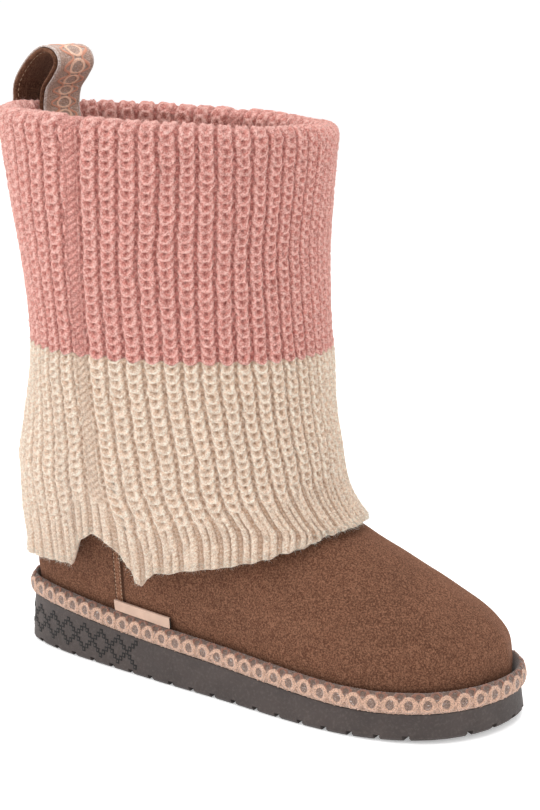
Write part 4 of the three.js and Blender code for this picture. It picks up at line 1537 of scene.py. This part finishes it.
class BOOT_OT_studio(bpy.types.Operator):
    """White floor, soft lights and the camera"""

    bl_idname = "boot.studio"
    bl_label = "Studio"

    def execute(self, context):
        settings = context.scene.boot_studio
        shape = bmesh.new()
        bmesh.ops.create_grid(shape, x_segments=2, y_segments=2, size=70)
        mesh = written(shape, bpy.data.meshes.new("floor"))
        floor = added("floor", mesh)
        finish = Finish("Studio floor")
        white = (0.93, 0.93, 0.93)
        glow = {"Emission_Color": (*white, 1), "Emission_Strength": 0.36}
        mesh.materials.append(finish.done(Base_Color=white, Roughness=0.9, **glow))
        world = bpy.data.worlds.new("Studio")
        world.use_nodes = True
        sky = world.node_tree.nodes["Background"]
        sky.inputs["Color"].default_value = (1, 1, 1, 1)
        sky.inputs["Strength"].default_value = 0.75
        context.scene.world = world
        context.scene.view_settings.view_transform = "Standard"
        self.light("key", (-0.7, -1.1, 1.5), 1.2, 13.5)
        self.light("left", (-1.4, -0.5, 0.7), 1.2, 7)
        self.light("right", (1.5, -0.6, 0.9), 1.2, 5)
        self.light("back", (0.2, 1.3, 1.4), 1.0, 8)
        self.light("top", (0.1, 0.0, 1.9), 1.0, 14)
        lens = bpy.data.cameras.new("camera")
        lens.lens = settings.lens
        camera = added("camera", lens)
        place = (settings.camera_x, settings.camera_y, settings.camera_z)
        self.aim(camera, place, (settings.target_x, settings.target_y, settings.target_z))
        context.scene.camera = camera
        return {"FINISHED"}

    def light(self, name, place, size, power):
        lamp = bpy.data.lights.new(name, "AREA")
        lamp.size = size
        lamp.energy = power
        self.aim(added(name, lamp), place, (0.09, 0, 0.13))

    def aim(self, holder, place, target):
        holder.location = place
        way = Vector(target) - Vector(place)
        holder.rotation_euler = way.to_track_quat("-Z", "Y").to_euler()


class BOOT_PT_panel(bpy.types.Panel):
    bl_label = "Mid-calf boot"
    bl_idname = "BOOT_PT_panel"
    bl_space_type = "VIEW_3D"
    bl_region_type = "UI"
    bl_category = "Boot"

    def draw(self, context):
        for operator in OPERATORS:
            self.layout.operator(operator.bl_idname)
        for name in GROUPS:
            box = self.layout.box()
            group = getattr(context.scene, name)
            for key in group.__annotations__:
                box.prop(group, key)


GROUPS = {
    "boot_knit": BootKnit,
    "boot_suede": BootSuede,
    "boot_rubber": BootRubber,
    "boot_ribbon": BootRibbon,
    "boot_tag": BootTag,
    "boot_studio": BootStudio,
}
OPERATORS = [
    BOOT_OT_sole,
    BOOT_OT_rand,
    BOOT_OT_upper,
    BOOT_OT_insole,
    BOOT_OT_sleeve,
    BOOT_OT_loop,
    BOOT_OT_tag,
    BOOT_OT_studio,
]


def register():
    for name, group in GROUPS.items():
        bpy.utils.register_class(group)
        setattr(bpy.types.Scene, name, bpy.props.PointerProperty(type=group))
    for item in [*OPERATORS, BOOT_PT_panel]:
        bpy.utils.register_class(item)


def unregister():
    for item in [*OPERATORS, BOOT_PT_panel]:
        bpy.utils.unregister_class(item)
    for name, group in GROUPS.items():
        delattr(bpy.types.Scene, name)
        bpy.utils.unregister_class(group)


def main():
    register()
    bpy.ops.boot.sole()
    bpy.ops.boot.rand()
    bpy.ops.boot.upper()
    bpy.ops.boot.insole()
    bpy.ops.boot.sleeve()
    bpy.ops.boot.loop()
    bpy.ops.boot.tag()
    bpy.ops.boot.studio()


if __name__ == "__main__":
    main()
